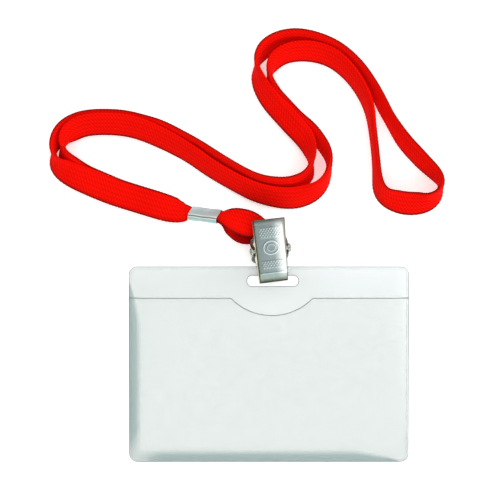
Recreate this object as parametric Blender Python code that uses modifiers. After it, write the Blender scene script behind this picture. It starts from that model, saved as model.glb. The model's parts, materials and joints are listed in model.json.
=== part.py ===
"""Badge holder: a clear landscape badge pocket, a two-lever spring clip through
its slot, and a flat knitted strap closed into a loop by a crimp sleeve.

Everything lies on the plane z = 0. +X runs along the pocket, +Y from the pocket
to the strap, +Z up. The origin is under the middle of pocket and clip.
Lengths are in metres.
"""

from math import asin, atan, atan2, cos, degrees, pi, radians, sin, sqrt

import bmesh
import bpy
import numpy as np
from mathutils import Matrix, Vector

MM = 0.001

# ------------------------------------------------------------------ dimensions
# Drawing grid: the strap's route and the clip's place are laid out on a grid
# whose unit is the pocket's width / 279.3.
POCKET_W = 95.0 * MM
POCKET_H = 66.6 * MM
GRID = POCKET_W / 279.3
GRID_X0 = 268.85
GRID_Y0 = 339.85

POCKET_R = 2.8 * MM
BACK_T = 0.50 * MM
FRONT_T = 0.36 * MM
SLOT_L = 17.4 * MM
SLOT_W = 3.6 * MM
SLOT_X = 1.31 * MM
SLOT_Y = 20.08 * MM
SLOT_Z = 3.95 * MM  # middle of the back sheet at the slot
POCKET_TOP_Y = 24.98 * MM
POCKET_LOW_Y = -41.47 * MM
FRONT_TOP = 14.40 * MM  # top edge of the front sheet
NOTCH_X = 0.97 * MM
NOTCH_HALF = 13.77 * MM
NOTCH_DEEP = 5.88 * MM
WELD_W = 0.80 * MM
BULGE_RUN = 3.4 * MM
BULGE = 1.05 * MM
GAP = 0.30 * MM

CLIP_X = 0.38 * MM
CLIP_Y = 30.67 * MM
CLIP_Z = 5.40 * MM
CLIP_TURN = radians(7.0)
CLIP_ROLL = radians(6.5)
LEVER_T = 0.42 * MM
TAIL_V = 10.22 * MM
TIP_V = -10.9 * MM
FLARE = radians(6.0)
PIN_R = 0.80 * MM
PIN_HOLE_R = 1.12 * MM
WIRE_R = 0.33 * MM
COIL_R = 1.62 * MM

CRIMP_L = 10.7 * MM
CRIMP_W = 6.2 * MM
CRIMP_T = 2.7 * MM
CRIMP_WALL = 0.40 * MM

STRAP_W = 9.5 * MM
STRAP_T = 2.0 * MM
RING_STEP = 2.6 * MM

# ------------------------------------------------------------------- scene set-up
for old in list(bpy.data.objects):
    bpy.data.objects.remove(old, do_unlink=True)

scene = bpy.context.scene
parts = bpy.data.collections.new("badge_holder")
tools = bpy.data.collections.new("cutters")
scene.collection.children.link(parts)
scene.collection.children.link(tools)


def material(name, colour, roughness, metallic=0.0, alpha=1.0):
    mat = bpy.data.materials.new(name)
    mat.use_nodes = True
    bsdf = mat.node_tree.nodes["Principled BSDF"]
    bsdf.inputs["Base Color"].default_value = (*colour, 1.0)
    bsdf.inputs["Roughness"].default_value = roughness
    bsdf.inputs["Metallic"].default_value = metallic
    bsdf.inputs["Alpha"].default_value = alpha
    return mat


CLEAR_BACK = material("clear_sheet_back", (0.86, 0.91, 0.90), 0.15, alpha=0.45)
CLEAR_FRONT = material("clear_sheet_front", (0.84, 0.89, 0.88), 0.15, alpha=0.45)
PLATED = material("plated_steel", (0.72, 0.75, 0.74), 0.25, metallic=1.0)
SPRING = material("spring_wire", (0.50, 0.50, 0.48), 0.35, metallic=1.0)
SLEEVE = material("sleeve_metal", (0.70, 0.74, 0.74), 0.30, metallic=1.0)
RED = material("red_band", (0.85, 0.01, 0.0), 0.9)


def mesh_object(name, bm, mat, collection=None):
    mesh = bpy.data.meshes.new(name)
    bm.to_mesh(mesh)
    bm.free()
    obj = bpy.data.objects.new(name, mesh)
    (collection or parts).objects.link(obj)
    if mat:
        mesh.materials.append(mat)
    return obj


def as_cutter(obj):
    obj.hide_render = True
    obj.display_type = "WIRE"
    return obj


def boolean(obj, other, operation="DIFFERENCE"):
    mod = obj.modifiers.new(other.name, "BOOLEAN")
    mod.operation = operation
    mod.solver = "EXACT"
    mod.object = other
    return mod


def prism(outline, low, high):
    """A closed bmesh: a flat outline of (x, y) points, counter-clockwise, between two heights."""
    bm = bmesh.new()
    bottom = bm.faces.new([bm.verts.new((x, y, low)) for x, y in reversed(outline)])
    grown = bmesh.ops.extrude_face_region(bm, geom=[bottom])
    lifted = [v for v in grown["geom"] if isinstance(v, bmesh.types.BMVert)]
    bmesh.ops.translate(bm, vec=(0, 0, high - low), verts=lifted)
    bmesh.ops.recalc_face_normals(bm, faces=bm.faces)
    return bm


def rounded_box(x0, x1, y0, y1, radius, steps=5):
    """Counter-clockwise outline of a rectangle with round corners."""
    corners = [(x1, y1, 0), (x0, y1, 90), (x0, y0, 180), (x1, y0, 270)]
    points = []
    for cx, cy, start in corners:
        mx = cx - radius if cx == x1 else cx + radius
        my = cy - radius if cy == y1 else cy + radius
        for k in range(steps + 1):
            a = radians(start + 90.0 * k / steps)
            points.append((mx + radius * cos(a), my + radius * sin(a)))
    return points


# ------------------------------------------------------------------ pocket sheets
# The pocket is modelled flat around its slot's centre, then tilted about the X
# axis so that its lower edge rests on z = 0.
LEFT, RIGHT = -POCKET_W / 2 - SLOT_X, POCKET_W / 2 - SLOT_X
TOP = POCKET_TOP_Y - SLOT_Y
LOW = TOP - POCKET_H
pocket_tilt = asin((SLOT_Z - BACK_T / 2) / -LOW)
pocket_frame = Matrix.Translation((SLOT_X, SLOT_Y, SLOT_Z)) @ Matrix.Rotation(
    pocket_tilt, 4, "X"
)

pocket_axis = bpy.data.objects.new("pocket_axis", None)
parts.objects.link(pocket_axis)
pocket_axis.matrix_world = pocket_frame

back = mesh_object(
    "back_sheet",
    prism(rounded_box(LEFT, RIGHT, LOW, TOP, POCKET_R), -BACK_T / 2, BACK_T / 2),
    CLEAR_BACK,
)
slot = mesh_object(
    "slot_cutter",
    prism(
        rounded_box(
            -SLOT_L / 2, SLOT_L / 2, -SLOT_W / 2, SLOT_W / 2, SLOT_W / 2 * 0.999, 6
        ),
        -2 * MM,
        2 * MM,
    ),
    None,
    tools,
)
as_cutter(slot)
boolean(back, slot)


def bulge_height(x, y):
    """Height of the front sheet's middle surface over the back sheet's middle."""
    rest = BACK_T / 2 + GAP + FRONT_T / 2
    inside = min(x - LEFT, RIGHT - x, y - LOW) - WELD_W
    s = max(0.0, min(1.0, inside / BULGE_RUN))
    return rest + BULGE * s * s * (3 - 2 * s)


def front_sheet():
    """An open sheet with its edges welded down on three sides, given a thickness by Solidify."""
    front_top = FRONT_TOP - SLOT_Y
    runs = [0.0, WELD_W] + [WELD_W + BULGE_RUN * f for f in (0.25, 0.5, 0.75, 1.0)]
    xs = [LEFT + r for r in runs] + [RIGHT - r for r in reversed(runs)]
    ys = [LOW + r for r in runs] + [front_top]
    bm = bmesh.new()
    grid = [[bm.verts.new((x, y, bulge_height(x, y))) for x in xs] for y in ys]
    # the two lower corners are rounded: the corner point moves in along the diagonal
    inset = POCKET_R * (1 - 1 / sqrt(2))
    grid[0][0].co.x += inset
    grid[0][0].co.y += inset
    grid[0][-1].co.x -= inset
    grid[0][-1].co.y += inset
    for j in range(len(ys) - 1):
        for i in range(len(xs) - 1):
            bm.faces.new(
                (grid[j][i], grid[j][i + 1], grid[j + 1][i + 1], grid[j + 1][i])
            )
    obj = mesh_object("front_sheet", bm, CLEAR_FRONT)
    skin = obj.modifiers.new("thickness", "SOLIDIFY")
    skin.thickness = FRONT_T
    skin.offset = 0.0
    radius = (NOTCH_HALF**2 + NOTCH_DEEP**2) / (2 * NOTCH_DEEP)
    cx, cy = NOTCH_X - SLOT_X, front_top - NOTCH_DEEP + radius
    disc = [
        (cx + radius * cos(2 * pi * k / 72), cy + radius * sin(2 * pi * k / 72))
        for k in range(72)
    ]
    notch = as_cutter(
        mesh_object("notch_cutter", prism(disc, -3 * MM, 6 * MM), None, tools)
    )
    boolean(obj, notch)
    notch.parent = pocket_axis
    # the corner cells aren't flat, so the triangles are fixed here
    obj.modifiers.new("triangles", "TRIANGULATE")
    return obj


front = front_sheet()
for piece in (back, slot, front):
    piece.parent = pocket_axis

# --------------------------------------------------------------------- the clip
# Clip frame: u across, v towards the levers' tails, w up, origin on the pivot.
clip_frame = (
    Matrix.Translation((CLIP_X, CLIP_Y, CLIP_Z))
    @ Matrix.Rotation(CLIP_TURN, 4, "Z")
    @ Matrix.Rotation(CLIP_ROLL, 4, "Y")
)
clip_axis = bpy.data.objects.new("clip_axis", None)
parts.objects.link(clip_axis)
clip_axis.matrix_world = clip_frame


def along(table, v):
    """Value at v of a table of (v, value) that falls in v, in straight runs."""
    for (v0, a0), (v1, a1) in zip(table, table[1:]):
        if v0 >= v >= v1:
            return a0 + (a1 - a0) * (v0 - v) / (v0 - v1)
    return table[0][1] if v > table[0][0] else table[-1][1]


# side views: height of each lever's plate (middle surface), in mm
FRONT_RISE = [
    (10.22, 5.85),
    (9.4, 5.78),
    (-7.9, 1.15),
    (-9.0, 0.72),
    (-9.9, 0.1),
    (-10.55, -0.50),
    (-10.85, -0.86),
]
REAR_RISE = [
    (10.22, -1.35),
    (4.2, -2.2),
    (-3.8, -3.3),
    (-7.4, -3.8),
    (-8.6, -3.72),
    (-9.6, -3.15),
    (-10.3, -2.40),
    (-10.7, -1.86),
]
FRONT_HALF = [(10.22, 5.33), (-10.9, 4.75)]
REAR_HALF = [
    (10.22, 5.0),
    (4.6, 5.1),
    (3.9, 6.45),
    (-3.4, 6.45),
    (-4.1, 4.95),
    (-10.9, 4.7),
]
EAR_R = 2.15
EAR_DROP = 3.15  # from the front plate down to the pin's axis


def flange_depth(v):
    """Depth of the front lever's side flange at v, in mm: shallow, with a round ear at the pin."""
    base = along([(10.22, 0.55), (8.0, 0.6), (5.4, 1.0), (-5.0, 1.35), (-10.9, 0.5)], v)
    if abs(v) < EAR_R:
        return EAR_DROP + sqrt(EAR_R**2 - v * v) * 0.97
    if abs(v) < 4.6:
        s = (4.6 - abs(v)) / (4.6 - EAR_R)
        return base + (EAR_DROP - base) * s
    return base


def lever_front():
    """A folded channel: plate and two flared flanges as one open surface, then thickened."""
    vs = [10.22, 9.4, 8.0, 6.4, 4.6, 3.4, 2.15, 1.9, 1.4, 0.7, 0.0]
    vs += [-0.7, -1.4, -1.9, -2.15, -3.4, -4.6, -6.2, -7.9, -9.0, -9.9, -10.55, -10.85]
    bm = bmesh.new()
    rows = []
    for v in vs:
        half, rise, drop = along(FRONT_HALF, v), along(FRONT_RISE, v), flange_depth(v)
        out = drop * sin(FLARE)
        rows.append(
            [
                bm.verts.new((-(half + out) * MM, v * MM, (rise - drop) * MM)),
                bm.verts.new((-half * MM, v * MM, rise * MM)),
                bm.verts.new((half * MM, v * MM, rise * MM)),
                bm.verts.new(((half + out) * MM, v * MM, (rise - drop) * MM)),
            ]
        )
    for a, b in zip(rows, rows[1:]):
        for i in range(3):
            bm.faces.new((a[i], b[i], b[i + 1], a[i + 1]))
    bmesh.ops.recalc_face_normals(bm, faces=bm.faces)
    if sum(f.normal.z for f in bm.faces) < 0:
        bmesh.ops.reverse_faces(bm, faces=bm.faces)
    obj = mesh_object("clip_front_lever", bm, PLATED)
    skin = obj.modifiers.new("thickness", "SOLIDIFY")
    skin.thickness = LEVER_T
    skin.offset = 0.0
    skin.use_even_offset = True
    hole = bmesh.new()
    bmesh.ops.create_cone(
        hole,
        cap_ends=True,
        segments=20,
        radius1=PIN_HOLE_R,
        radius2=PIN_HOLE_R,
        depth=20 * MM,
        matrix=Matrix.Rotation(pi / 2, 4, "Y"),
    )
    cutter = as_cutter(mesh_object("front_pin_hole", hole, None, tools))
    boolean(obj, cutter)
    cutter.parent = clip_axis
    return obj


def lever_rear():
    """A bent plate with a window in its tail and two upright ears outside the front lever."""
    vs = [10.22, 7.4, 4.6, 3.9, 1.8, -0.8, -3.4, -4.1, -5.8, -7.4, -8.0]
    vs += [-8.6, -9.6, -10.3, -10.7]
    bm = bmesh.new()
    rows = []
    for v in vs:
        half, rise = along(REAR_HALF, v) * MM, along(REAR_RISE, v) * MM
        rows.append([bm.verts.new((s * half, v * MM, rise)) for s in (-1, 1)])
    for a, b in zip(rows, rows[1:]):
        bm.faces.new((a[0], b[0], b[1], a[1]))
    bmesh.ops.recalc_face_normals(bm, faces=bm.faces)
    if sum(f.normal.z for f in bm.faces) < 0:
        bmesh.ops.reverse_faces(bm, faces=bm.faces)
    obj = mesh_object("clip_rear_lever", bm, PLATED)
    skin = obj.modifiers.new("thickness", "SOLIDIFY")
    skin.thickness = LEVER_T
    skin.offset = 0.0
    window = as_cutter(
        mesh_object(
            "tail_window",
            prism(
                rounded_box(
                    -3.6 * MM, 3.6 * MM, 2.9 * MM, 9.35 * MM, 0.8 * MM, 3
                ),
                -5 * MM,
                3 * MM,
            ),
            None,
            tools,
        )
    )
    boolean(obj, window)
    window.parent = clip_axis
    for side, name in ((-1, "left"), (1, "right")):
        # side view of the ear: from the plate up, round over the pin
        outline = []
        for k in range(13):
            a = pi * k / 12
            outline.append((2.0 * cos(a), 2.0 * sin(a)))
        outline += [(-3.1, -3.42), (3.5, -2.52)]
        ear = prism([(v * MM, w * MM) for v, w in outline], -0.21 * MM, 0.21 * MM)
        # outline's (x, y) becomes the clip's (v, w)
        swap = Matrix(((0, 0, 1, side * 6.24 * MM), (1, 0, 0, 0), (0, 1, 0, 0), (0, 0, 0, 1)))
        bmesh.ops.transform(ear, matrix=swap, verts=ear.verts)
        bmesh.ops.recalc_face_normals(ear, faces=ear.faces)
        ear_obj = as_cutter(mesh_object("ear_" + name, ear, None, tools))
        boolean(obj, ear_obj, "UNION")
        ear_obj.parent = clip_axis
    hole = bmesh.new()
    bmesh.ops.create_cone(
        hole,
        cap_ends=True,
        segments=20,
        radius1=PIN_HOLE_R,
        radius2=PIN_HOLE_R,
        depth=20 * MM,
        matrix=Matrix.Rotation(pi / 2, 4, "Y"),
    )
    cutter = as_cutter(mesh_object("rear_pin_hole", hole, None, tools))
    boolean(obj, cutter)
    cutter.parent = clip_axis
    return obj


def pivot_pin():
    """Turned rivet on the clip's u axis: domed head at +u, small peened end at -u."""
    ear_out = 6.24 + 0.21 + 0.3
    dome = [(1.42 * sin(radians(a)), ear_out + 0.62 * cos(radians(a))) for a in (1, 25, 50, 75, 90)]
    profile = [(0.0, ear_out + 0.62)] + dome[1:]
    profile += [(1.42, ear_out), (0.80, ear_out), (0.80, -ear_out), (1.0, -ear_out)]
    profile += [(1.0, -ear_out - 0.3), (0.75, -ear_out - 0.55), (0.0, -ear_out - 0.62)]
    bm = bmesh.new()
    verts = [bm.verts.new((r * MM, 0, h * MM)) for r, h in profile]
    for a, b in zip(verts, verts[1:]):
        bm.edges.new((a, b))
    obj = mesh_object("pivot_pin", bm, PLATED)
    turn = obj.modifiers.new("turned", "SCREW")
    turn.axis = "Z"
    turn.steps = turn.render_steps = 20
    turn.use_merge_vertices = True
    turn.merge_threshold = 1e-6
    obj.matrix_world = clip_frame @ Matrix.Rotation(pi / 2, 4, "Y")
    return obj


def torsion_spring():
    """A coil around the pin with one leg under each lever's tail side."""
    turns, per_turn, length = 4.15, 12, 4.6
    start = radians(-62)
    count = int(turns * per_turn)
    points = []
    # the coil winds about u; angle 0 points to +v, 90 degrees to +w
    for k in range(count + 1):
        f = k / count
        a = start - 2 * pi * turns * f
        u = (-length / 2 + length * f) * MM
        points.append(Vector((u, COIL_R * cos(a), COIL_R * sin(a))))
    first, last = points[0], points[-1]
    lead_in = first + Vector((0, 3.4 * MM, 0.75 * MM))
    a_end = start - 2 * pi * turns
    tangent = Vector((0, sin(a_end), -cos(a_end)))
    lead_out = last + tangent * 3.3 * MM
    route = [lead_in] + points + [lead_out]
    curve = bpy.data.curves.new("spring_curve", "CURVE")
    curve.dimensions = "3D"
    curve.bevel_depth = WIRE_R
    curve.bevel_resolution = 2
    curve.use_fill_caps = True
    spline = curve.splines.new("POLY")
    spline.points.add(len(route) - 1)
    for p, co in zip(spline.points, route):
        p.co = (*co, 1.0)
    obj = bpy.data.objects.new("torsion_spring", curve)
    curve.materials.append(SPRING)
    parts.objects.link(obj)
    return obj


lever_f = lever_front()
lever_r = lever_rear()
pin = pivot_pin()
spring = torsion_spring()
for piece in (lever_f, lever_r, spring):
    piece.parent = clip_axis

# -------------------------------------------------------------- crimp and strap


def at(gx, gy):
    """A grid point in world metres."""
    return np.array(((gx - GRID_X0) * GRID, (GRID_Y0 - gy) * GRID))


# The sleeve's frame: along its length, across its width, out of its seen face.
CRIMP_MID = np.array((*at(205.4, 215.2), 5.25 * MM))
crimp_long = np.array((9.73, -1.28, 4.35))
crimp_long /= np.linalg.norm(crimp_long)
crimp_wide = np.array((2.38, 3.91, -4.18))
crimp_wide -= crimp_long * crimp_wide.dot(crimp_long)
crimp_wide /= np.linalg.norm(crimp_wide)
crimp_out = np.cross(crimp_long, crimp_wide)


def stadium(width, thick, steps=5):
    """Outline of a flat oval, counter-clockwise."""
    r = thick / 2
    points = []
    for side, start in ((1, -90), (-1, 90)):
        for k in range(steps + 1):
            a = radians(start + 180.0 * k / steps)
            points.append((side * (width / 2 - r) + r * cos(a), r * sin(a)))
    return points


def crimp_sleeve():
    frame = Matrix.Identity(4)
    for i in range(3):
        frame[i][0] = crimp_wide[i]
        frame[i][1] = crimp_out[i]
        frame[i][2] = crimp_long[i]
        frame[i][3] = CRIMP_MID[i]
    obj = mesh_object(
        "crimp_sleeve",
        prism(stadium(CRIMP_W, CRIMP_T), -CRIMP_L / 2, CRIMP_L / 2),
        SLEEVE,
    )
    bore = as_cutter(
        mesh_object(
            "sleeve_bore",
            prism(
                stadium(CRIMP_W - 2 * CRIMP_WALL, CRIMP_T - 2 * CRIMP_WALL),
                -CRIMP_L,
                CRIMP_L,
            ),
            None,
            tools,
        )
    )
    boolean(obj, bore)
    obj.matrix_world = frame
    bore.matrix_world = frame
    return obj


crimp_sleeve()


def seen(width):
    """Lean of the band from upright, in degrees, when it shows this width from above, in grid units."""
    across = sqrt(STRAP_W**2 + STRAP_T**2)
    lean = asin(min(0.999, abs(width) * GRID / across)) - atan(STRAP_T / STRAP_W)
    return degrees(max(0.0, lean)) * (1 if width > 0 else -1)


def sleeve_point(layer, s):
    """A point in the sleeve: layer +1 upper or -1 lower, s metres from its middle along its length."""
    return CRIMP_MID + crimp_long * s + crimp_out * layer * 0.50 * MM


# Route of the band as a neck loop, out of the sleeve's left mouth and back into
# it. Each station: grid x, grid y, lean (degrees from upright, + to the left of
# the way the band runs), width and thickness in mm, height of the middle in mm,
# None where the band stands on its lower edge, or ON where it lies on its other run.
W, T = STRAP_W / MM, STRAP_T / MM
ON = "on"


# Lean of the band inside the sleeve, where its width lies along the sleeve's.
level = np.hypot(*crimp_long[:2])
SLEEVE_LEAN = degrees(
    atan2(
        crimp_wide.dot((-crimp_long[1], crimp_long[0], 0.0)),
        (crimp_wide[2] - crimp_long[2] * crimp_wide.dot(crimp_long)) / level,
    )
)


def mouth(layer, s):
    p = sleeve_point(layer, s * MM)
    return (p[0] / GRID + GRID_X0, GRID_Y0 - p[1] / GRID), p[2] / MM


def neck_route():
    (ax, ay), az = mouth(+1, -3.3)
    (bx, by), bz = mouth(-1, -3.3)
    (ax2, ay2), az2 = mouth(+1, -5.5)
    (bx2, by2), bz2 = mouth(-1, -5.5)
    (ax3, ay3), az3 = mouth(+1, -6.7)
    (bx3, by3), bz3 = mouth(-1, -6.5)
    out = [
        (ax, ay, -SLEEVE_LEAN, 4.4, 0.6, az),
        (ax2, ay2, -SLEEVE_LEAN, 4.4, 0.6, az2),
        (ax3, ay3, -SLEEVE_LEAN, 6.7, 0.8, az3),
        (182.0, 211.2, -118, 8.5, 1.15, 3.9),
        (176.0, 211.1, -101, 8.7, 1.45, 4.6),
        (167.0, 208.3, -84, 9.3, 1.8, 5.0),
        (157.2, 205.2, -84, W, T, 5.05),
        (145.3, 201.6, -84, W, T, 4.8),
        (128.3, 196.4, -84, W, T, ON),
        (112.0, 191.4, -82, W, T, ON),
        (103.2, 187.9, -78, W, T, ON),
        (93.9, 184.3, -73, W, T, ON),
        (84.2, 180.3, -68, W, T, ON),
        (72.6, 175.4, -61, W, T, ON),
        (61.8, 169.6, -48, W, T, ON),
        (56.3, 163.9, -36, W, T, ON),
        (53.6, 158.5, -20, W, T, None),
        (54.1, 150.4, 17, W, T, None),
        (56.2, 142.0, 24, W, T, None),
        (60.0, 133.8, 32, W, T, None),
        (69.0, 127.1, 45, W, T, None),
        (85.4, 121.2, 48, W, T, None),
        (106.6, 120.3, 48.5, W, T, None),
        (124.4, 121.2, 48, W, T, None),
        (142.1, 125.3, 46.5, W, T, None),
        (161.2, 129.3, 37, W, T, None),
        (181.5, 136.9, 22, W, T, None),
        (199.7, 146.6, 20, W, T, None),
        (216.5, 157.0, 17, W, T, None),
        (242.7, 172.5, 16, W, T, None),
        (261.2, 181.0, seen(15), W, T, None),
        (279.4, 184.0, seen(17), W, T, None),
        (292.4, 184.6, seen(20), W, T, None),
        (303.3, 180.5, seen(19.8), W, T, None),
        (310.3, 172.8, seen(16.5), W, T, None),
        (311.2, 162.4, -5, W, T, None),
        (310.6, 150.8, -27, W, T, None),
        (303.8, 136.9, -47, W, T, ON),
        (292.1, 124.9, -49.5, W, T, ON),
        (281.2, 112.7, -49.5, W, T, ON),
        (271.1, 102.5, -45, W, T, ON),
        (264.9, 93.2, -40, W, T, ON),
        (260.0, 84.9, -33, W, T, ON),
        (257.1, 74.6, -26, W, T, ON),
        (256.1, 65.4, 3, W, T, None),
        (260.4, 54.6, 31, W, T, None),
        (267.5, 46.0, 33, W, T, None),
        (277.2, 39.6, seen(18.5), W, T, None),
        (287.6, 37.4, seen(19), W, T, None),
        (297.6, 36.8, seen(19), W, T, None),
        (309.2, 38.8, seen(19), W, T, None),
        (323.0, 43.2, seen(19), W, T, None),
        (337.2, 50.0, seen(18.6), W, T, None),
        (348.2, 58.4, seen(17.6), W, T, None),
        (358.4, 67.9, seen(16.6), W, T, None),
        (368.0, 80.8, seen(15.8), W, T, None),
        (375.8, 92.3, seen(14.5), W, T, None),
        (382.5, 106.4, seen(16), W, T, None),
        (388.2, 117.4, seen(14.5), W, T, None),
        (393.8, 125.9, seen(16.2), W, T, None),
        (403.2, 140.9, seen(19), W, T, None),
        (413.6, 152.5, seen(19.6), W, T, None),
        (424.2, 163.9, seen(19.4), W, T, None),
        (433.4, 172.2, seen(17.5), W, T, None),
        (440.0, 179.4, seen(15), W, T, None),
        (442.0, 187.2, 0, W, T, None),
        (438.3, 194.2, seen(-16), W, T, None),
        (432.2, 200.2, seen(-19.5), W, T, None),
        (425.0, 202.4, seen(-24.5), W, T, None),
        (414.3, 204.0, seen(-26.6), W, T, None),
        (402.4, 203.2, seen(-26.2), W, T, None),
        (391.4, 199.6, seen(-24.8), W, T, None),
        (382.2, 194.5, seen(-20), W, T, None),
        (378.0, 187.0, seen(-15.5), W, T, None),
        (376.7, 176.3, seen(-11.5), W, T, None),
        (375.8, 165.2, seen(-10.2), W, T, None),
        (374.4, 150.2, seen(-9.8), W, T, None),
        (373.0, 138.2, seen(-9.8), W, T, None),
        (371.0, 122.3, seen(-10.4), W, T, None),
        (368.9, 107.8, seen(-14), W, T, None),
        (361.5, 90.5, seen(-16.4), W, T, None),
        (352.2, 76.4, seen(-18.6), W, T, None),
        (342.4, 65.9, seen(-20.6), W, T, None),
        (330.2, 57.0, seen(-22.4), W, T, None),
        (312.4, 51.7, seen(-23.6), W, T, None),
        (295.3, 51.7, seen(-23), W, T, None),
        (280.3, 56.0, seen(-21.5), W, T, None),
        (272.6, 63.4, -31, W, T, None),
        (268.7, 72.6, -8, W, T, None),
        (269.4, 80.4, 14, W, T, None),
        (271.9, 89.1, 26, W, T, None),
        (275.9, 98.9, 40, W, T, None),
        (284.6, 109.7, 47, W, T, None),
        (295.9, 121.4, 45, W, T, None),
        (310.0, 129.2, 31, W, T, None),
        (317.3, 137.6, seen(16.5), W, T, None),
        (323.8, 147.0, seen(17), W, T, None),
        (328.3, 155.5, seen(13), W, T, None),
        (329.7, 165.6, 0, W, T, None),
        (327.5, 176.8, seen(-11.5), W, T, None),
        (322.0, 185.6, -25, W, T, None),
        (314.2, 191.6, -39, W, T, None),
        (304.0, 196.4, -47, W, T, None),
        (290.5, 198.7, -49, W, T, None),
        (277.0, 197.4, -45, W, T, None),
        (257.6, 192.9, -41, W, T, None),
        (237.1, 183.4, -36, W, T, None),
        (210.1, 168.0, -36, W, T, None),
        (193.8, 156.1, -37, W, T, ON),
        (177.2, 146.2, -41, W, T, ON),
        (158.2, 136.5, -45.5, W, T, ON),
        (140.9, 129.5, -46.5, W, T, ON),
        (123.7, 125.4, -48, W, T, ON),
        (106.6, 124.5, -48.5, W, T, ON),
        (86.3, 125.5, -48, W, T, ON),
        (72.6, 131.2, -45.5, W, T, ON),
        (66.1, 137.2, -35, W, T, ON),
        (62.2, 143.5, -10, W, T, None),
        (63.1, 151.2, 18, W, T, None),
        (64.6, 157.2, 31, W, T, None),
        (70.2, 162.9, 41, W, T, None),
        (75.8, 170.6, 57, W, T, None),
        (85.2, 178.2, 68, W, T, None),
        (94.6, 182.4, 73, W, T, None),
        (104.0, 186.5, 78, W, T, None),
        (112.3, 190.8, 82, W, T, None),
        (128.3, 196.2, 84, W, T, None),
        (145.3, 201.5, 84, W, T, None),
        (158.2, 205.6, 84, 9.3, 1.9, None),
        (168.0, 208.6, 87, 8.8, 1.6, None),
        (176.6, 210.8, 99, 8.2, 1.2, 1.30),
        (182.0, 212.8, 122, 7.4, 1.0, 1.8),
        (bx3, by3, SLEEVE_LEAN, 6.6, 0.8, bz3),
        (bx2, by2, SLEEVE_LEAN, 4.4, 0.6, bz2),
        (bx, by, SLEEVE_LEAN, 4.4, 0.6, bz),
    ]
    return out


def clip_route():
    """The same band from the sleeve's right mouth, through the rear lever's tail window and back."""
    (ax, ay), az = mouth(+1, 3.3)
    (bx, by), bz = mouth(-1, 3.3)
    (ax2, ay2), az2 = mouth(+1, 5.5)
    (bx2, by2), bz2 = mouth(-1, 5.5)
    (ax3, ay3), az3 = mouth(+1, 6.5)
    (bx3, by3), bz3 = mouth(-1, 6.5)
    return [
        (ax, ay, SLEEVE_LEAN, 4.4, 0.6, az),
        (ax2, ay2, SLEEVE_LEAN, 4.4, 0.6, az2),
        (ax3, ay3, SLEEVE_LEAN, 6.6, 0.8, az3),
        (229.0, 218.4, 120, 8.0, 1.2, 8.25),
        (235.5, 220.2, 107, 9.4, 1.5, 7.9),
        (244.0, 222.6, 98, 9.4, 1.7, 7.5),
        (252.0, 224.8, 92, 9.4, 1.7, 7.05),
        (259.5, 227.0, 90, 7.6, 1.6, 6.75),
        (265.6, 230.4, 90, 4.9, 1.4, 6.0),
        (268.4, 232.2, 90, 4.4, 1.3, 4.2),
        (265.6, 232.8, 90, 4.7, 1.3, 2.4),
        (259.5, 232.2, 90, 6.0, 1.3, 1.55),
        (252.0, 232.6, 94, 8.8, 1.4, 1.6),
        (244.4, 232.0, 104, 9.5, 1.5, 2.4),
        (235.5, 228.8, 118, 9.2, 1.4, 3.5),
        (228.2, 225.4, 126, 8.6, 1.0, 5.0),
        (bx3, by3, SLEEVE_LEAN, 6.6, 0.8, bz3),
        (bx2, by2, SLEEVE_LEAN, 4.4, 0.6, bz2),
        (bx, by, SLEEVE_LEAN, 4.4, 0.6, bz),
    ]


def smooth_curve(points, step):
    """Points every step along a Catmull-Rom curve through the rows of points; columns 0 to 2 are the place."""
    pts = np.array(points, float)
    pts = np.vstack([2 * pts[0] - pts[1], pts, 2 * pts[-1] - pts[-2]])
    fine = []
    for i in range(1, len(pts) - 2):
        p0, p1, p2, p3 = pts[i - 1 : i + 3]
        n = 24
        for k in range(n):
            t = k / n
            fine.append(
                0.5
                * (
                    2 * p1
                    + (p2 - p0) * t
                    + (2 * p0 - 5 * p1 + 4 * p2 - p3) * t * t
                    + (3 * p1 - p0 - 3 * p2 + p3) * t**3
                )
            )
    fine.append(pts[-2])
    fine = np.array(fine)
    gone = np.r_[0, np.cumsum(np.linalg.norm(np.diff(fine[:, :3], axis=0), axis=1))]
    count = max(2, int(round(gone[-1] / step)))
    spots = np.linspace(0, gone[-1], count + 1)
    return np.stack([np.interp(spots, gone, fine[:, c]) for c in range(fine.shape[1])], 1)


def soften(rows, sigma, fixed):
    """Gaussian smoothing along the rows, faded out over the first and last fixed rows."""
    n = len(rows)
    reach = int(3 * sigma) + 1
    kernel = np.exp(-0.5 * (np.arange(-reach, reach + 1) / sigma) ** 2)
    kernel /= kernel.sum()
    padded = np.vstack([rows[:1]] * reach + [rows] + [rows[-1:]] * reach)
    smooth = np.stack(
        [np.convolve(padded[:, c], kernel, "valid") for c in range(rows.shape[1])], 1
    )
    far = np.minimum(np.arange(n), n - 1 - np.arange(n))
    share = np.clip((far - fixed) / max(1.0, fixed), 0, 1)[:, None]
    return rows * (1 - share) + smooth * share


def half_height(lean, width, thick):
    return sqrt((width / 2 * cos(lean)) ** 2 + (thick / 2 * sin(lean)) ** 2)


RING = [(0.5, 0.0), (0.40, 0.30), (0.17, 0.47), (-0.17, 0.47), (-0.40, 0.30)]
RING += [(-0.5, 0.0), (-0.40, -0.30), (-0.17, -0.47), (0.17, -0.47), (0.40, -0.30)]


def edge_lines(rows):
    """The ten points of the section at each row, and the plan heading of each row."""
    heading = np.gradient(rows[:, :2], axis=0)
    heading /= np.linalg.norm(heading, axis=1)[:, None]
    lean, width, thick = rows[:, 3], rows[:, 4], rows[:, 5]
    lines = []
    for a, b in RING:
        aside = a * width * np.sin(lean) + b * thick * np.cos(lean)
        up = a * width * np.cos(lean) - b * thick * np.sin(lean)
        lines.append(
            np.stack(
                [
                    rows[:, 0] - heading[:, 1] * aside,
                    rows[:, 1] + heading[:, 0] * aside,
                    rows[:, 2] + up,
                ],
                1,
            )
        )
    return np.array(lines), heading


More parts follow.
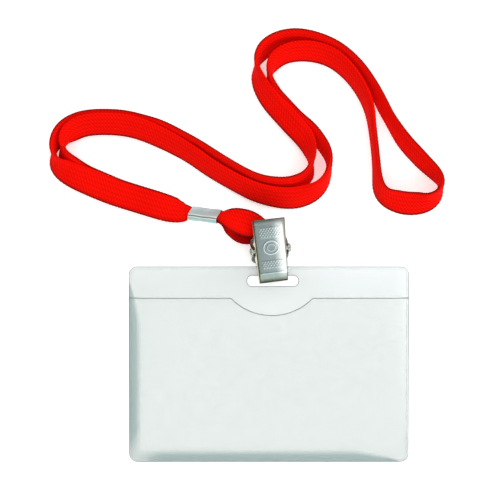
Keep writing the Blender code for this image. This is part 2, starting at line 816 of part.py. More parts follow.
def border(points, x, upper):
    """Height of the section's upper or lower border at x."""
    found = []
    for p, q in zip(points, np.roll(points, -1, 0)):
        if min(p[0], q[0]) <= x <= max(p[0], q[0]) and abs(q[0] - p[0]) > 1e-9:
            found.append(p[1] + (q[1] - p[1]) * (x - p[0]) / (q[0] - p[0]))
    return max(found) if upper else min(found)


def rest_on_other_run(rows):
    """Raises the rows that lie on the other run until they clear it."""
    n = len(rows)
    lines, heading = edge_lines(rows)
    clear = np.zeros(n)
    for i in np.flatnonzero(rows[:, 6] > 0.02):
        away = np.linalg.norm(rows[:, :2] - rows[i, :2], axis=1)
        away[max(0, i - 45) : i + 46] = 1.0
        j = int(np.argmin(away))
        if away[j] > 12 * MM:
            continue
        flat = np.array((-heading[i, 1], heading[i, 0]))
        mine = np.stack(
            [(lines[:, i, :2] - rows[i, :2]) @ flat, lines[:, i, 2]], 1
        )
        # the other run where it crosses the plane of this section
        other = []
        for line in lines[:, max(0, j - 14) : j + 15]:
            ahead = (line[:, :2] - rows[i, :2]) @ heading[i]
            k = np.flatnonzero(ahead[:-1] * ahead[1:] <= 0)
            if len(k):
                k = k[0]
                share = ahead[k] / (ahead[k] - ahead[k + 1] + 1e-12)
                spot = line[k] + (line[k + 1] - line[k]) * share
                other.append(((spot[:2] - rows[i, :2]) @ flat, spot[2]))
        if len(other) < 6:
            continue
        other = np.array(other)
        low = max(mine[:, 0].min(), other[:, 0].min())
        high = min(mine[:, 0].max(), other[:, 0].max())
        if high - low < 0.05 * MM:
            continue
        need = max(
            border(other, x, True) - border(mine, x, False)
            for x in np.linspace(low + 0.02 * MM, high - 0.02 * MM, 25)
        )
        clear[i] = rows[i, 2] + need + 0.28 * MM
    raised = np.maximum(rows[:, 2], clear)
    touched = np.convolve(clear > 0, np.ones(31), "same") > 0
    for sigma in (5.0, 3.0):
        smooth = soften(raised[:, None], sigma, 7)[:, 0]
        raised = np.where(touched, np.maximum(smooth, clear), raised)
    out = rows.copy()
    out[:, 2] = raised
    return out


def band(stations, step, side=None):
    """Frames along the band: middle, across, through (unit vectors), width and thickness, in metres.

    The lean is towards the left of the way the band runs, or towards side where that is given.
    """
    table = []
    for gx, gy, lean, width, thick, height in stations:
        x, y = at(gx, gy)
        stand = half_height(radians(lean), width * MM, thick * MM) + 0.05 * MM
        z = stand if height in (None, ON) else height * MM
        table.append((x, y, z, radians(lean), width * MM, thick * MM, height == ON))
    rows = smooth_curve(table, 0.6 * MM)
    rows = rest_on_other_run(soften(rows, 4.0, 7))
    gone = np.r_[0, np.cumsum(np.linalg.norm(np.diff(rows[:, :3], axis=0), axis=1))]
    # rings are closer together near the sleeve, where the band widens quickly
    near = np.linspace(0, 11.2 * MM, 9)
    count = max(2, int(round((gone[-1] - 2 * near[-1]) / step)))
    spots = np.linspace(near[-1], gone[-1] - near[-1], count + 1)
    spots = np.r_[near[:-1], spots, (gone[-1] - near)[-2::-1]]
    rows = np.stack([np.interp(spots, gone, rows[:, c]) for c in range(6)], 1)
    heading = np.gradient(rows[:, :3], axis=0)
    heading /= np.linalg.norm(heading, axis=1)[:, None]
    frames = []
    for row, t in zip(rows, heading):
        flat = np.array((-t[1], t[0], 0.0) if side is None else side)
        flat /= np.linalg.norm(flat) + 1e-12
        lean = row[3]
        across = sin(lean) * flat + cos(lean) * np.array((0.0, 0.0, 1.0))
        across -= t * across.dot(t)
        across /= np.linalg.norm(across)
        through = np.cross(t, across)
        frames.append((row[:3], across, through, row[4], row[5]))
    return frames, gone[-1]


def band_solid(name, frames):
    """A closed loft of one flat oval ring per frame."""
    bm = bmesh.new()
    rings = []
    for middle, across, through, width, thick in frames:
        ring = [middle + across * width * a + through * thick * b for a, b in RING]
        low = min(p[2] for p in ring)
        lift = max(0.0, -low)
        rings.append([bm.verts.new((p[0], p[1], p[2] + lift)) for p in ring])
    n = len(RING)
    for a, b in zip(rings, rings[1:]):
        for i in range(n):
            j = (i + 1) % n
            bm.faces.new((a[i], a[j], b[j], b[i]))
    bm.faces.new(rings[0])
    bm.faces.new(list(reversed(rings[-1])))
    bmesh.ops.recalc_face_normals(bm, faces=bm.faces)
    obj = mesh_object(name, bm, RED)
    obj.data.shade_smooth()
    return obj


neck, neck_length = band(neck_route(), RING_STEP)
bight, bight_length = band(
    clip_route(), 2.0 * MM, side=(-crimp_long[1], crimp_long[0], 0.0)
)
# The neck loop's two runs are separate solids that meet at the far end, with a small gap.
split = len(neck) // 2
first, second = list(neck[: split + 1]), list(neck[split:])
shift = (second[1][0] - second[0][0]) / np.linalg.norm(second[1][0] - second[0][0])
second[0] = (second[0][0] + shift * GAP, *second[0][1:])
band_solid("strap_outer_run", first)
band_solid("strap_inner_run", second)
band_solid("strap_clip_loop", bight)
print("neck loop", round(neck_length, 4), "clip loop", round(bight_length, 4))

for obj in parts.objects:
    if obj.type == "MESH" and obj.name.startswith(("pivot", "crimp")):
        obj.data.shade_smooth()
        obj.data.set_sharp_from_angle(angle=radians(35))
bpy.context.view_layer.update()
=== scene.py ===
"""The looks of a badge holder: a clear landscape pocket, a two-lever spring clip
and a flat knitted red strap closed by a crimp sleeve, lying on a pale table.

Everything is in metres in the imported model's frame. The strap's route is the
same as in the model, and everything else sits in the places of its own node.
"""

import json
from math import asin, atan, atan2, cos, degrees, pi, radians, sin, sqrt

import bmesh
import bpy
import numpy as np
from mathutils import Matrix, Vector

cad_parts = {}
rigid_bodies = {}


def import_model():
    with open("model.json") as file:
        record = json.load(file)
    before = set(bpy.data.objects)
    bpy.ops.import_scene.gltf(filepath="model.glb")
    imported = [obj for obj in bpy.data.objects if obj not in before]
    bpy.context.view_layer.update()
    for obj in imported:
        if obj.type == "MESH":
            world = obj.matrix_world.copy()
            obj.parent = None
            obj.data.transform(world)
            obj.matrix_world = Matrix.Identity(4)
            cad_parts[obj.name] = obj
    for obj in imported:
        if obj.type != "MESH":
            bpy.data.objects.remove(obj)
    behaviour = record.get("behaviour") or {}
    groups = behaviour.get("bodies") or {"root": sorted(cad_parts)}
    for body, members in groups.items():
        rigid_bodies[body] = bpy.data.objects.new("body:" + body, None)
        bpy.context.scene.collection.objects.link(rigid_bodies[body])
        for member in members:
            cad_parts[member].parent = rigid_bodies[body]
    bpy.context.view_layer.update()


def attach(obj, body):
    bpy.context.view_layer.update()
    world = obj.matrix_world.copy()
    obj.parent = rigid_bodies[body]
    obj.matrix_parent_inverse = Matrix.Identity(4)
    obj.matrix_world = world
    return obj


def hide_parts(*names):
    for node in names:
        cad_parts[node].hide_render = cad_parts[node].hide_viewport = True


for old in list(bpy.data.objects):
    bpy.data.objects.remove(old, do_unlink=True)
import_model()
scene = bpy.context.scene

MM = 0.001

# ------------------------------------------------------- sizes, as in the model
POCKET_W = 95.0 * MM
POCKET_H = 66.6 * MM
GRID = POCKET_W / 279.3
GRID_X0 = 268.85
GRID_Y0 = 339.85
POCKET_R = 2.8
BACK_T = 0.50
FRONT_T = 0.36
SLOT_L = 17.4
SLOT_W = 3.6
SLOT_X, SLOT_Y, SLOT_Z = 1.31, 20.08, 3.95
POCKET_TOP_Y = 24.98
FRONT_TOP = 14.40
NOTCH_X, NOTCH_HALF, NOTCH_DEEP = 0.97, 13.77, 5.88
WELD_W, BULGE_RUN, BULGE, GAP = 0.80, 3.4, 1.05, 0.30
CLIP = Vector((0.38, 30.67, 5.40)) * MM
CLIP_TURN, CLIP_ROLL = radians(7.0), radians(6.5)
LEVER_T = 0.42
FLARE = radians(6.0)
PIN_R, PIN_HOLE_R = 0.80, 1.12
WIRE_R, COIL_R = 0.33, 1.62
CRIMP_L, CRIMP_W, CRIMP_T, CRIMP_WALL = 10.7, 6.2, 2.7, 0.40
STRAP_W, STRAP_T = 9.5 * MM, 2.0 * MM

# ------------------------------------------------------------------- camera
# The picture is 500 x 500 and shows 170 mm across on the table.
cam_data = bpy.data.cameras.new("photo_camera")
cam_data.sensor_width = 36.0
cam_data.lens = 200.0
cam_data.clip_start = 0.01
cam_data.clip_end = 20.0
camera = bpy.data.objects.new("photo_camera", cam_data)
scene.collection.objects.link(camera)
view_width = 500 * GRID
camera.location = (
    (250.0 - GRID_X0) * GRID,
    (GRID_Y0 - 250.0) * GRID,
    view_width * cam_data.lens / cam_data.sensor_width + 1.0 * MM,
)
scene.camera = camera


# ------------------------------------------------------------ building meshes
def mesh_from(name, points, faces, smooth=True):
    mesh = bpy.data.meshes.new(name)
    mesh.from_pydata([tuple(p) for p in points], [], faces)
    mesh.validate()
    mesh.update()
    if smooth:
        mesh.shade_smooth()
    obj = bpy.data.objects.new(name, mesh)
    scene.collection.objects.link(obj)
    return obj


def grid_faces(n, m, around=False, ends=False, base=0):
    """Quads of an n by m grid of points; around closes it along m, ends along n."""
    i = np.arange(n if ends else n - 1)
    j = np.arange(m if around else m - 1)
    a, b = np.meshgrid(i, j, indexing="ij")
    a, b = a.ravel(), b.ravel()
    a2, b2 = (a + 1) % n, (b + 1) % m
    quads = np.stack([a * m + b, a * m + b2, a2 * m + b2, a2 * m + b], 1) + base
    return quads.tolist()


def normals_of(grid):
    """Unit normals of a grid of points, from its two directions."""
    du = np.gradient(grid, axis=0)
    dv = np.gradient(grid, axis=1)
    n = np.cross(du, dv)
    return n / (np.linalg.norm(n, axis=2)[..., None] + 1e-12)


def plate_from(name, grid, thick, rim=0.35):
    """A sheet of metal or film: a grid of points as its middle surface, with rounded rims."""
    n, m, _ = grid.shape
    normal = normals_of(grid)
    upper = grid + normal * thick / 2
    lower = grid - normal * thick / 2
    points = np.vstack([upper.reshape(-1, 3), lower.reshape(-1, 3)])
    faces = grid_faces(n, m)
    faces += [list(reversed(f)) for f in grid_faces(n, m, base=n * m)]
    # the rim runs once round the grid
    loop = [(0, j) for j in range(m)] + [(i, m - 1) for i in range(1, n)]
    loop += [(n - 1, j) for j in range(m - 2, -1, -1)] + [
        (i, 0) for i in range(n - 2, 0, -1)
    ]
    mid = []
    for i, j in loop:
        out = np.zeros(3)
        if i == 0:
            out += grid[0, j] - grid[1, j]
        if i == n - 1:
            out += grid[-1, j] - grid[-2, j]
        if j == 0:
            out += grid[i, 0] - grid[i, 1]
        if j == m - 1:
            out += grid[i, -1] - grid[i, -2]
        out /= np.linalg.norm(out) + 1e-12
        mid.append(grid[i, j] + out * thick * rim)
    base = len(points)
    points = np.vstack([points, mid])
    count = len(loop)
    for k in range(count):
        k2 = (k + 1) % count
        a = loop[k][0] * m + loop[k][1]
        b = loop[k2][0] * m + loop[k2][1]
        faces.append([b, a, base + k, base + k2])
        faces.append([base + k2, base + k, a + n * m, b + n * m])
    obj = mesh_from(name, points, faces)
    fix = bmesh.new()
    fix.from_mesh(obj.data)
    bmesh.ops.recalc_face_normals(fix, faces=fix.faces)
    fix.to_mesh(obj.data)
    fix.free()
    return obj


def tube_from(name, path, radius, sides=16, caps=True):
    """A round wire along a polyline, with its sections carried along without twist."""
    path = np.array(path, float)
    t = np.gradient(path, axis=0)
    t /= np.linalg.norm(t, axis=1)[:, None]
    side = np.cross(t[0], (0.3, 0.2, 0.9))
    side /= np.linalg.norm(side)
    points = []
    for p, d in zip(path, t):
        side = side - d * side.dot(d)
        side /= np.linalg.norm(side)
        other = np.cross(d, side)
        for k in range(sides):
            a = 2 * pi * k / sides
            points.append(p + radius * (cos(a) * side + sin(a) * other))
    n = len(path)
    faces = grid_faces(n, sides, around=True)
    if caps:
        faces.append(list(range(sides)))
        faces.append(list(reversed(range((n - 1) * sides, n * sides))))
    obj = mesh_from(name, points, faces)
    fix = bmesh.new()
    fix.from_mesh(obj.data)
    bmesh.ops.recalc_face_normals(fix, faces=fix.faces)
    fix.to_mesh(obj.data)
    fix.free()
    return obj


def lathe(name, profile, matrix, steps=48):
    """A turned piece: (radius, height) points turned about the matrix's z axis."""
    ring = []
    for r, h in profile:
        for k in range(steps):
            a = 2 * pi * k / steps
            ring.append(matrix @ Vector((r * cos(a), r * sin(a), h)))
    n = len(profile)
    faces = grid_faces(n, steps, around=True)
    faces.append(list(range(steps)))
    faces.append(list(reversed(range((n - 1) * steps, n * steps))))
    obj = mesh_from(name, ring, faces)
    fix = bmesh.new()
    fix.from_mesh(obj.data)
    bmesh.ops.recalc_face_normals(fix, faces=fix.faces)
    fix.to_mesh(obj.data)
    fix.free()
    obj.data.set_sharp_from_angle(angle=radians(50))
    return obj


def cut(obj, cutters, operation="DIFFERENCE"):
    """Applies Booleans with these objects, then removes them."""
    for other in cutters:
        mod = obj.modifiers.new("cut", "BOOLEAN")
        mod.operation = operation
        mod.solver = "EXACT"
        mod.object = other
    bpy.context.view_layer.update()
    graph = bpy.context.evaluated_depsgraph_get()
    mesh = bpy.data.meshes.new_from_object(obj.evaluated_get(graph))
    obj.modifiers.clear()
    obj.data = mesh
    for other in cutters:
        bpy.data.objects.remove(other, do_unlink=True)
    mesh.shade_smooth()
    mesh.set_sharp_from_angle(angle=radians(42))
    return obj


# ------------------------------------------------------------------ node helpers
class Nodes:
    """A short way to lay out a material's nodes."""

    def __init__(self, name):
        self.mat = bpy.data.materials.new(name)
        self.mat.use_nodes = True
        self.tree = self.mat.node_tree
        self.bsdf = self.tree.nodes["Principled BSDF"]
        self.out = self.tree.nodes["Material Output"]

    def add(self, kind, inputs=(), **props):
        node = self.tree.nodes.new(kind)
        for key, value in props.items():
            setattr(node, key, value)
        for key, value in dict(inputs).items():
            self.feed(node, key, value)
        return node

    def feed(self, node, key, value):
        socket = node.inputs[key]
        if isinstance(value, bpy.types.NodeSocket):
            self.tree.links.new(value, socket)
        else:
            socket.default_value = value

    def math(self, op, a, b=0.0, c=0.0, clamp=False):
        node = self.add("ShaderNodeMath", operation=op, use_clamp=clamp)
        for k, value in enumerate((a, b, c)):
            self.feed(node, k, value)
        return node.outputs[0]

    def range(self, value, low, high, to_low=0.0, to_high=1.0, smooth=False):
        node = self.add(
            "ShaderNodeMapRange",
            {"Value": value, "From Min": low, "From Max": high, "To Min": to_low, "To Max": to_high},
            interpolation_type="SMOOTHSTEP" if smooth else "LINEAR",
        )
        return node.outputs[0]

    def mix(self, share, a, b, blend="MIX"):
        node = self.add("ShaderNodeMix", data_type="RGBA", blend_type=blend)
        node.clamp_factor = True
        for index, value in ((0, share), (6, a), (7, b)):
            if isinstance(value, bpy.types.NodeSocket):
                self.tree.links.new(value, node.inputs[index])
            else:
                node.inputs[index].default_value = value
        return node.outputs[2]

    def noise(self, vector, scale, detail=3.0, rough=0.55):
        node = self.add(
            "ShaderNodeTexNoise",
            {"Vector": vector, "Scale": scale, "Detail": detail, "Roughness": rough},
        )
        return node.outputs[0]

    def place(self):
        return self.add("ShaderNodeTexCoord").outputs["Object"]

    def split(self, vector):
        node = self.add("ShaderNodeSeparateXYZ", {"Vector": vector})
        return node.outputs[0], node.outputs[1], node.outputs[2]

    def bump(self, height, strength, distance):
        node = self.add(
            "ShaderNodeBump", {"Height": height, "Strength": strength, "Distance": distance}
        )
        self.tree.links.new(node.outputs[0], self.bsdf.inputs["Normal"])

    def set(self, **values):
        for key, value in values.items():
            self.feed(self.bsdf, key.replace("_", " "), value)


def rgb(r, g, b):
    """sRGB 0 to 255 as linear colour."""
    def lin(c):
        c /= 255.0
        return c / 12.92 if c <= 0.04045 else ((c + 0.055) / 1.055) ** 2.4
    return (lin(r), lin(g), lin(b), 1.0)


# ------------------------------------------------------------- the strap's route
def at(gx, gy):
    return np.array(((gx - GRID_X0) * GRID, (GRID_Y0 - gy) * GRID))


CRIMP_MID = np.array((*at(205.4, 215.2), 5.25 * MM))
crimp_long = np.array((9.73, -1.28, 4.35))
crimp_long /= np.linalg.norm(crimp_long)
crimp_wide = np.array((2.38, 3.91, -4.18))
crimp_wide -= crimp_long * crimp_wide.dot(crimp_long)
crimp_wide /= np.linalg.norm(crimp_wide)
crimp_out = np.cross(crimp_long, crimp_wide)


def seen(width):
    across = sqrt(STRAP_W**2 + STRAP_T**2)
    lean = asin(min(0.999, abs(width) * GRID / across)) - atan(STRAP_T / STRAP_W)
    return degrees(max(0.0, lean)) * (1 if width > 0 else -1)


def sleeve_point(layer, s):
    return CRIMP_MID + crimp_long * s + crimp_out * layer * 0.50 * MM


W, T = STRAP_W / MM, STRAP_T / MM
level = np.hypot(*crimp_long[:2])
SLEEVE_LEAN = degrees(
    atan2(
        crimp_wide.dot((-crimp_long[1], crimp_long[0], 0.0)),
        (crimp_wide[2] - crimp_long[2] * crimp_wide.dot(crimp_long)) / level,
    )
)


def mouth(layer, s):
    p = sleeve_point(layer, s * MM)
    return (p[0] / GRID + GRID_X0, GRID_Y0 - p[1] / GRID), p[2] / MM


ON = "on"


def neck_route():
    (ax, ay), az = mouth(+1, -3.3)
    (bx, by), bz = mouth(-1, -3.3)
    (ax2, ay2), az2 = mouth(+1, -5.5)
    (bx2, by2), bz2 = mouth(-1, -5.5)
    (ax3, ay3), az3 = mouth(+1, -6.7)
    (bx3, by3), bz3 = mouth(-1, -6.5)
    out = [
        (ax, ay, -SLEEVE_LEAN, 4.4, 0.6, az),
        (ax2, ay2, -SLEEVE_LEAN, 4.4, 0.6, az2),
        (ax3, ay3, -SLEEVE_LEAN, 6.7, 0.8, az3),
        (182.0, 211.2, -118, 8.5, 1.15, 3.9),
        (176.0, 211.1, -101, 8.7, 1.45, 4.6),
        (167.0, 208.3, -84, 9.3, 1.8, 5.0),
        (157.2, 205.2, -84, W, T, 5.05),
        (145.3, 201.6, -84, W, T, 4.8),
        (128.3, 196.4, -84, W, T, ON),
        (112.0, 191.4, -82, W, T, ON),
        (103.2, 187.9, -78, W, T, ON),
        (93.9, 184.3, -73, W, T, ON),
        (84.2, 180.3, -68, W, T, ON),
        (72.6, 175.4, -61, W, T, ON),
        (61.8, 169.6, -48, W, T, ON),
        (56.3, 163.9, -36, W, T, ON),
        (53.6, 158.5, -20, W, T, None),
        (54.1, 150.4, 17, W, T, None),
        (56.2, 142.0, 24, W, T, None),
        (60.0, 133.8, 32, W, T, None),
        (69.0, 127.1, 45, W, T, None),
        (85.4, 121.2, 48, W, T, None),
        (106.6, 120.3, 48.5, W, T, None),
        (124.4, 121.2, 48, W, T, None),
        (142.1, 125.3, 46.5, W, T, None),
        (161.2, 129.3, 37, W, T, None),
        (181.5, 136.9, 22, W, T, None),
        (199.7, 146.6, 20, W, T, None),
        (216.5, 157.0, 17, W, T, None),
        (242.7, 172.5, 16, W, T, None),
        (261.2, 181.0, seen(15), W, T, None),
        (279.4, 184.0, seen(17), W, T, None),
        (292.4, 184.6, seen(20), W, T, None),
        (303.3, 180.5, seen(19.8), W, T, None),
        (310.3, 172.8, seen(16.5), W, T, None),
        (311.2, 162.4, -5, W, T, None),
        (310.6, 150.8, -27, W, T, None),
        (303.8, 136.9, -47, W, T, ON),
        (292.1, 124.9, -49.5, W, T, ON),
        (281.2, 112.7, -49.5, W, T, ON),
        (271.1, 102.5, -45, W, T, ON),
        (264.9, 93.2, -40, W, T, ON),
        (260.0, 84.9, -33, W, T, ON),
        (257.1, 74.6, -26, W, T, ON),
        (256.1, 65.4, 3, W, T, None),
        (260.4, 54.6, 31, W, T, None),
        (267.5, 46.0, 33, W, T, None),
        (277.2, 39.6, seen(18.5), W, T, None),
        (287.6, 37.4, seen(19), W, T, None),
        (297.6, 36.8, seen(19), W, T, None),
        (309.2, 38.8, seen(19), W, T, None),
        (323.0, 43.2, seen(19), W, T, None),
        (337.2, 50.0, seen(18.6), W, T, None),
        (348.2, 58.4, seen(17.6), W, T, None),
        (358.4, 67.9, seen(16.6), W, T, None),
        (368.0, 80.8, seen(15.8), W, T, None),
        (375.8, 92.3, seen(14.5), W, T, None),
        (382.5, 106.4, seen(16), W, T, None),
        (388.2, 117.4, seen(14.5), W, T, None),
        (393.8, 125.9, seen(16.2), W, T, None),
        (403.2, 140.9, seen(19), W, T, None),
        (413.6, 152.5, seen(19.6), W, T, None),
        (424.2, 163.9, seen(19.4), W, T, None),
        (433.4, 172.2, seen(17.5), W, T, None),
        (440.0, 179.4, seen(15), W, T, None),
        (442.0, 187.2, 0, W, T, None),
        (438.3, 194.2, seen(-16), W, T, None),
        (432.2, 200.2, seen(-19.5), W, T, None),
        (425.0, 202.4, seen(-24.5), W, T, None),
        (414.3, 204.0, seen(-26.6), W, T, None),
        (402.4, 203.2, seen(-26.2), W, T, None),
        (391.4, 199.6, seen(-24.8), W, T, None),
        (382.2, 194.5, seen(-20), W, T, None),
        (378.0, 187.0, seen(-15.5), W, T, None),
        (376.7, 176.3, seen(-11.5), W, T, None),
        (375.8, 165.2, seen(-10.2), W, T, None),
        (374.4, 150.2, seen(-9.8), W, T, None),
        (373.0, 138.2, seen(-9.8), W, T, None),
        (371.0, 122.3, seen(-10.4), W, T, None),
        (368.9, 107.8, seen(-14), W, T, None),
        (361.5, 90.5, seen(-16.4), W, T, None),
        (352.2, 76.4, seen(-18.6), W, T, None),
        (342.4, 65.9, seen(-20.6), W, T, None),
        (330.2, 57.0, seen(-22.4), W, T, None),
        (312.4, 51.7, seen(-23.6), W, T, None),
        (295.3, 51.7, seen(-23), W, T, None),
        (280.3, 56.0, seen(-21.5), W, T, None),
        (272.6, 63.4, -31, W, T, None),
        (268.7, 72.6, -8, W, T, None),
        (269.4, 80.4, 14, W, T, None),
        (271.9, 89.1, 26, W, T, None),
        (275.9, 98.9, 40, W, T, None),
        (284.6, 109.7, 47, W, T, None),
        (295.9, 121.4, 45, W, T, None),
        (310.0, 129.2, 31, W, T, None),
        (317.3, 137.6, seen(16.5), W, T, None),
        (323.8, 147.0, seen(17), W, T, None),
        (328.3, 155.5, seen(13), W, T, None),
        (329.7, 165.6, 0, W, T, None),
        (327.5, 176.8, seen(-11.5), W, T, None),
        (322.0, 185.6, -25, W, T, None),
        (314.2, 191.6, -39, W, T, None),
        (304.0, 196.4, -47, W, T, None),
        (290.5, 198.7, -49, W, T, None),
        (277.0, 197.4, -45, W, T, None),
        (257.6, 192.9, -41, W, T, None),
        (237.1, 183.4, -36, W, T, None),
        (210.1, 168.0, -36, W, T, None),
        (193.8, 156.1, -37, W, T, ON),
        (177.2, 146.2, -41, W, T, ON),
        (158.2, 136.5, -45.5, W, T, ON),
        (140.9, 129.5, -46.5, W, T, ON),
        (123.7, 125.4, -48, W, T, ON),
        (106.6, 124.5, -48.5, W, T, ON),
        (86.3, 125.5, -48, W, T, ON),
        (72.6, 131.2, -45.5, W, T, ON),
        (66.1, 137.2, -35, W, T, ON),
        (62.2, 143.5, -10, W, T, None),
        (63.1, 151.2, 18, W, T, None),
        (64.6, 157.2, 31, W, T, None),
        (70.2, 162.9, 41, W, T, None),
        (75.8, 170.6, 57, W, T, None),
        (85.2, 178.2, 68, W, T, None),
        (94.6, 182.4, 73, W, T, None),
        (104.0, 186.5, 78, W, T, None),
        (112.3, 190.8, 82, W, T, None),
        (128.3, 196.2, 84, W, T, None),
        (145.3, 201.5, 84, W, T, None),
        (158.2, 205.6, 84, 9.3, 1.9, None),
        (168.0, 208.6, 87, 8.8, 1.6, None),
        (176.6, 210.8, 99, 8.2, 1.2, 1.30),
        (182.0, 212.8, 122, 7.4, 1.0, 1.8),
        (bx3, by3, SLEEVE_LEAN, 6.6, 0.8, bz3),
        (bx2, by2, SLEEVE_LEAN, 4.4, 0.6, bz2),
        (bx, by, SLEEVE_LEAN, 4.4, 0.6, bz),
    ]
    return out


def clip_route():
    """The same band from the sleeve's right mouth, through the rear lever's tail window and back."""
    (ax, ay), az = mouth(+1, 3.3)
    (bx, by), bz = mouth(-1, 3.3)
    (ax2, ay2), az2 = mouth(+1, 5.5)
    (bx2, by2), bz2 = mouth(-1, 5.5)
    (ax3, ay3), az3 = mouth(+1, 6.5)
    (bx3, by3), bz3 = mouth(-1, 6.5)
    return [
        (ax, ay, SLEEVE_LEAN, 4.4, 0.6, az),
        (ax2, ay2, SLEEVE_LEAN, 4.4, 0.6, az2),
        (ax3, ay3, SLEEVE_LEAN, 6.6, 0.8, az3),
        (229.0, 218.4, 120, 8.0, 1.2, 8.25),
        (235.5, 220.2, 107, 9.4, 1.5, 7.9),
        (244.0, 222.6, 98, 9.4, 1.7, 7.5),
        (252.0, 224.8, 92, 9.4, 1.7, 7.05),
        (259.5, 227.0, 90, 7.6, 1.6, 6.75),
        (265.6, 230.4, 90, 4.9, 1.4, 6.0),
        (268.4, 232.2, 90, 4.4, 1.3, 4.2),
        (265.6, 232.8, 90, 4.7, 1.3, 2.4),
        (259.5, 232.2, 90, 6.0, 1.3, 1.55),
        (252.0, 232.6, 94, 8.8, 1.4, 1.6),
        (244.4, 232.0, 104, 9.5, 1.5, 2.4),
        (235.5, 228.8, 118, 9.2, 1.4, 3.5),
        (228.2, 225.4, 126, 8.6, 1.0, 5.0),
        (bx3, by3, SLEEVE_LEAN, 6.6, 0.8, bz3),
        (bx2, by2, SLEEVE_LEAN, 4.4, 0.6, bz2),
        (bx, by, SLEEVE_LEAN, 4.4, 0.6, bz),
    ]


def smooth_curve(points, step):
    pts = np.array(points, float)
    pts = np.vstack([2 * pts[0] - pts[1], pts, 2 * pts[-1] - pts[-2]])
    fine = []
    for i in range(1, len(pts) - 2):
        p0, p1, p2, p3 = pts[i - 1 : i + 3]
        n = 24
        for k in range(n):
            t = k / n
            fine.append(
                0.5
                * (
                    2 * p1
                    + (p2 - p0) * t
                    + (2 * p0 - 5 * p1 + 4 * p2 - p3) * t * t
                    + (3 * p1 - p0 - 3 * p2 + p3) * t**3
                )
            )
    fine.append(pts[-2])
    fine = np.array(fine)
    gone = np.r_[0, np.cumsum(np.linalg.norm(np.diff(fine[:, :3], axis=0), axis=1))]
    count = max(2, int(round(gone[-1] / step)))
    spots = np.linspace(0, gone[-1], count + 1)
    return np.stack([np.interp(spots, gone, fine[:, c]) for c in range(fine.shape[1])], 1)


def soften(rows, sigma, fixed):
    n = len(rows)
    reach = int(3 * sigma) + 1
    kernel = np.exp(-0.5 * (np.arange(-reach, reach + 1) / sigma) ** 2)
    kernel /= kernel.sum()
    padded = np.vstack([rows[:1]] * reach + [rows] + [rows[-1:]] * reach)
    smooth = np.stack(
        [np.convolve(padded[:, c], kernel, "valid") for c in range(rows.shape[1])], 1
    )
    far = np.minimum(np.arange(n), n - 1 - np.arange(n))
    share = np.clip((far - fixed) / max(1.0, fixed), 0, 1)[:, None]
    return rows * (1 - share) + smooth * share


def half_height(lean, width, thick):
    return sqrt((width / 2 * cos(lean)) ** 2 + (thick / 2 * sin(lean)) ** 2)


RING = [(0.5, 0.0), (0.40, 0.30), (0.17, 0.47), (-0.17, 0.47), (-0.40, 0.30)]
RING += [(-0.5, 0.0), (-0.40, -0.30), (-0.17, -0.47), (0.17, -0.47), (0.40, -0.30)]


def edge_lines(rows):
    """The ten points of the section at each row, and the plan heading of each row."""
    heading = np.gradient(rows[:, :2], axis=0)
    heading /= np.linalg.norm(heading, axis=1)[:, None]
    lean, width, thick = rows[:, 3], rows[:, 4], rows[:, 5]
    lines = []
    for a, b in RING:
        aside = a * width * np.sin(lean) + b * thick * np.cos(lean)
        up = a * width * np.cos(lean) - b * thick * np.sin(lean)
        lines.append(
            np.stack(
                [
                    rows[:, 0] - heading[:, 1] * aside,
                    rows[:, 1] + heading[:, 0] * aside,
                    rows[:, 2] + up,
                ],
                1,
            )
        )
    return np.array(lines), heading


def border(points, x, upper):
    """Height of the section's upper or lower border at x."""
    found = []
    for p, q in zip(points, np.roll(points, -1, 0)):
        if min(p[0], q[0]) <= x <= max(p[0], q[0]) and abs(q[0] - p[0]) > 1e-9:
            found.append(p[1] + (q[1] - p[1]) * (x - p[0]) / (q[0] - p[0]))
    return max(found) if upper else min(found)


def rest_on_other_run(rows):
    """Raises the rows that lie on the other run until they clear it."""
    n = len(rows)
    lines, heading = edge_lines(rows)
    clear = np.zeros(n)
    for i in np.flatnonzero(rows[:, 6] > 0.02):
        away = np.linalg.norm(rows[:, :2] - rows[i, :2], axis=1)
        away[max(0, i - 45) : i + 46] = 1.0
        j = int(np.argmin(away))
        if away[j] > 12 * MM:
            continue
        flat = np.array((-heading[i, 1], heading[i, 0]))
        mine = np.stack(
            [(lines[:, i, :2] - rows[i, :2]) @ flat, lines[:, i, 2]], 1
        )
        # the other run where it crosses the plane of this section
        other = []
        for line in lines[:, max(0, j - 14) : j + 15]:
            ahead = (line[:, :2] - rows[i, :2]) @ heading[i]
            k = np.flatnonzero(ahead[:-1] * ahead[1:] <= 0)
            if len(k):
                k = k[0]
                share = ahead[k] / (ahead[k] - ahead[k + 1] + 1e-12)
                spot = line[k] + (line[k + 1] - line[k]) * share
                other.append(((spot[:2] - rows[i, :2]) @ flat, spot[2]))
        if len(other) < 6:
            continue
        other = np.array(other)
        low = max(mine[:, 0].min(), other[:, 0].min())
        high = min(mine[:, 0].max(), other[:, 0].max())
        if high - low < 0.05 * MM:
            continue
        need = max(
            border(other, x, True) - border(mine, x, False)
            for x in np.linspace(low + 0.02 * MM, high - 0.02 * MM, 25)
        )
        clear[i] = rows[i, 2] + need + 0.28 * MM
    raised = np.maximum(rows[:, 2], clear)
    touched = np.convolve(clear > 0, np.ones(31), "same") > 0
    for sigma in (5.0, 3.0):
        smooth = soften(raised[:, None], sigma, 7)[:, 0]
        raised = np.where(touched, np.maximum(smooth, clear), raised)
    out = rows.copy()
    out[:, 2] = raised
    return out


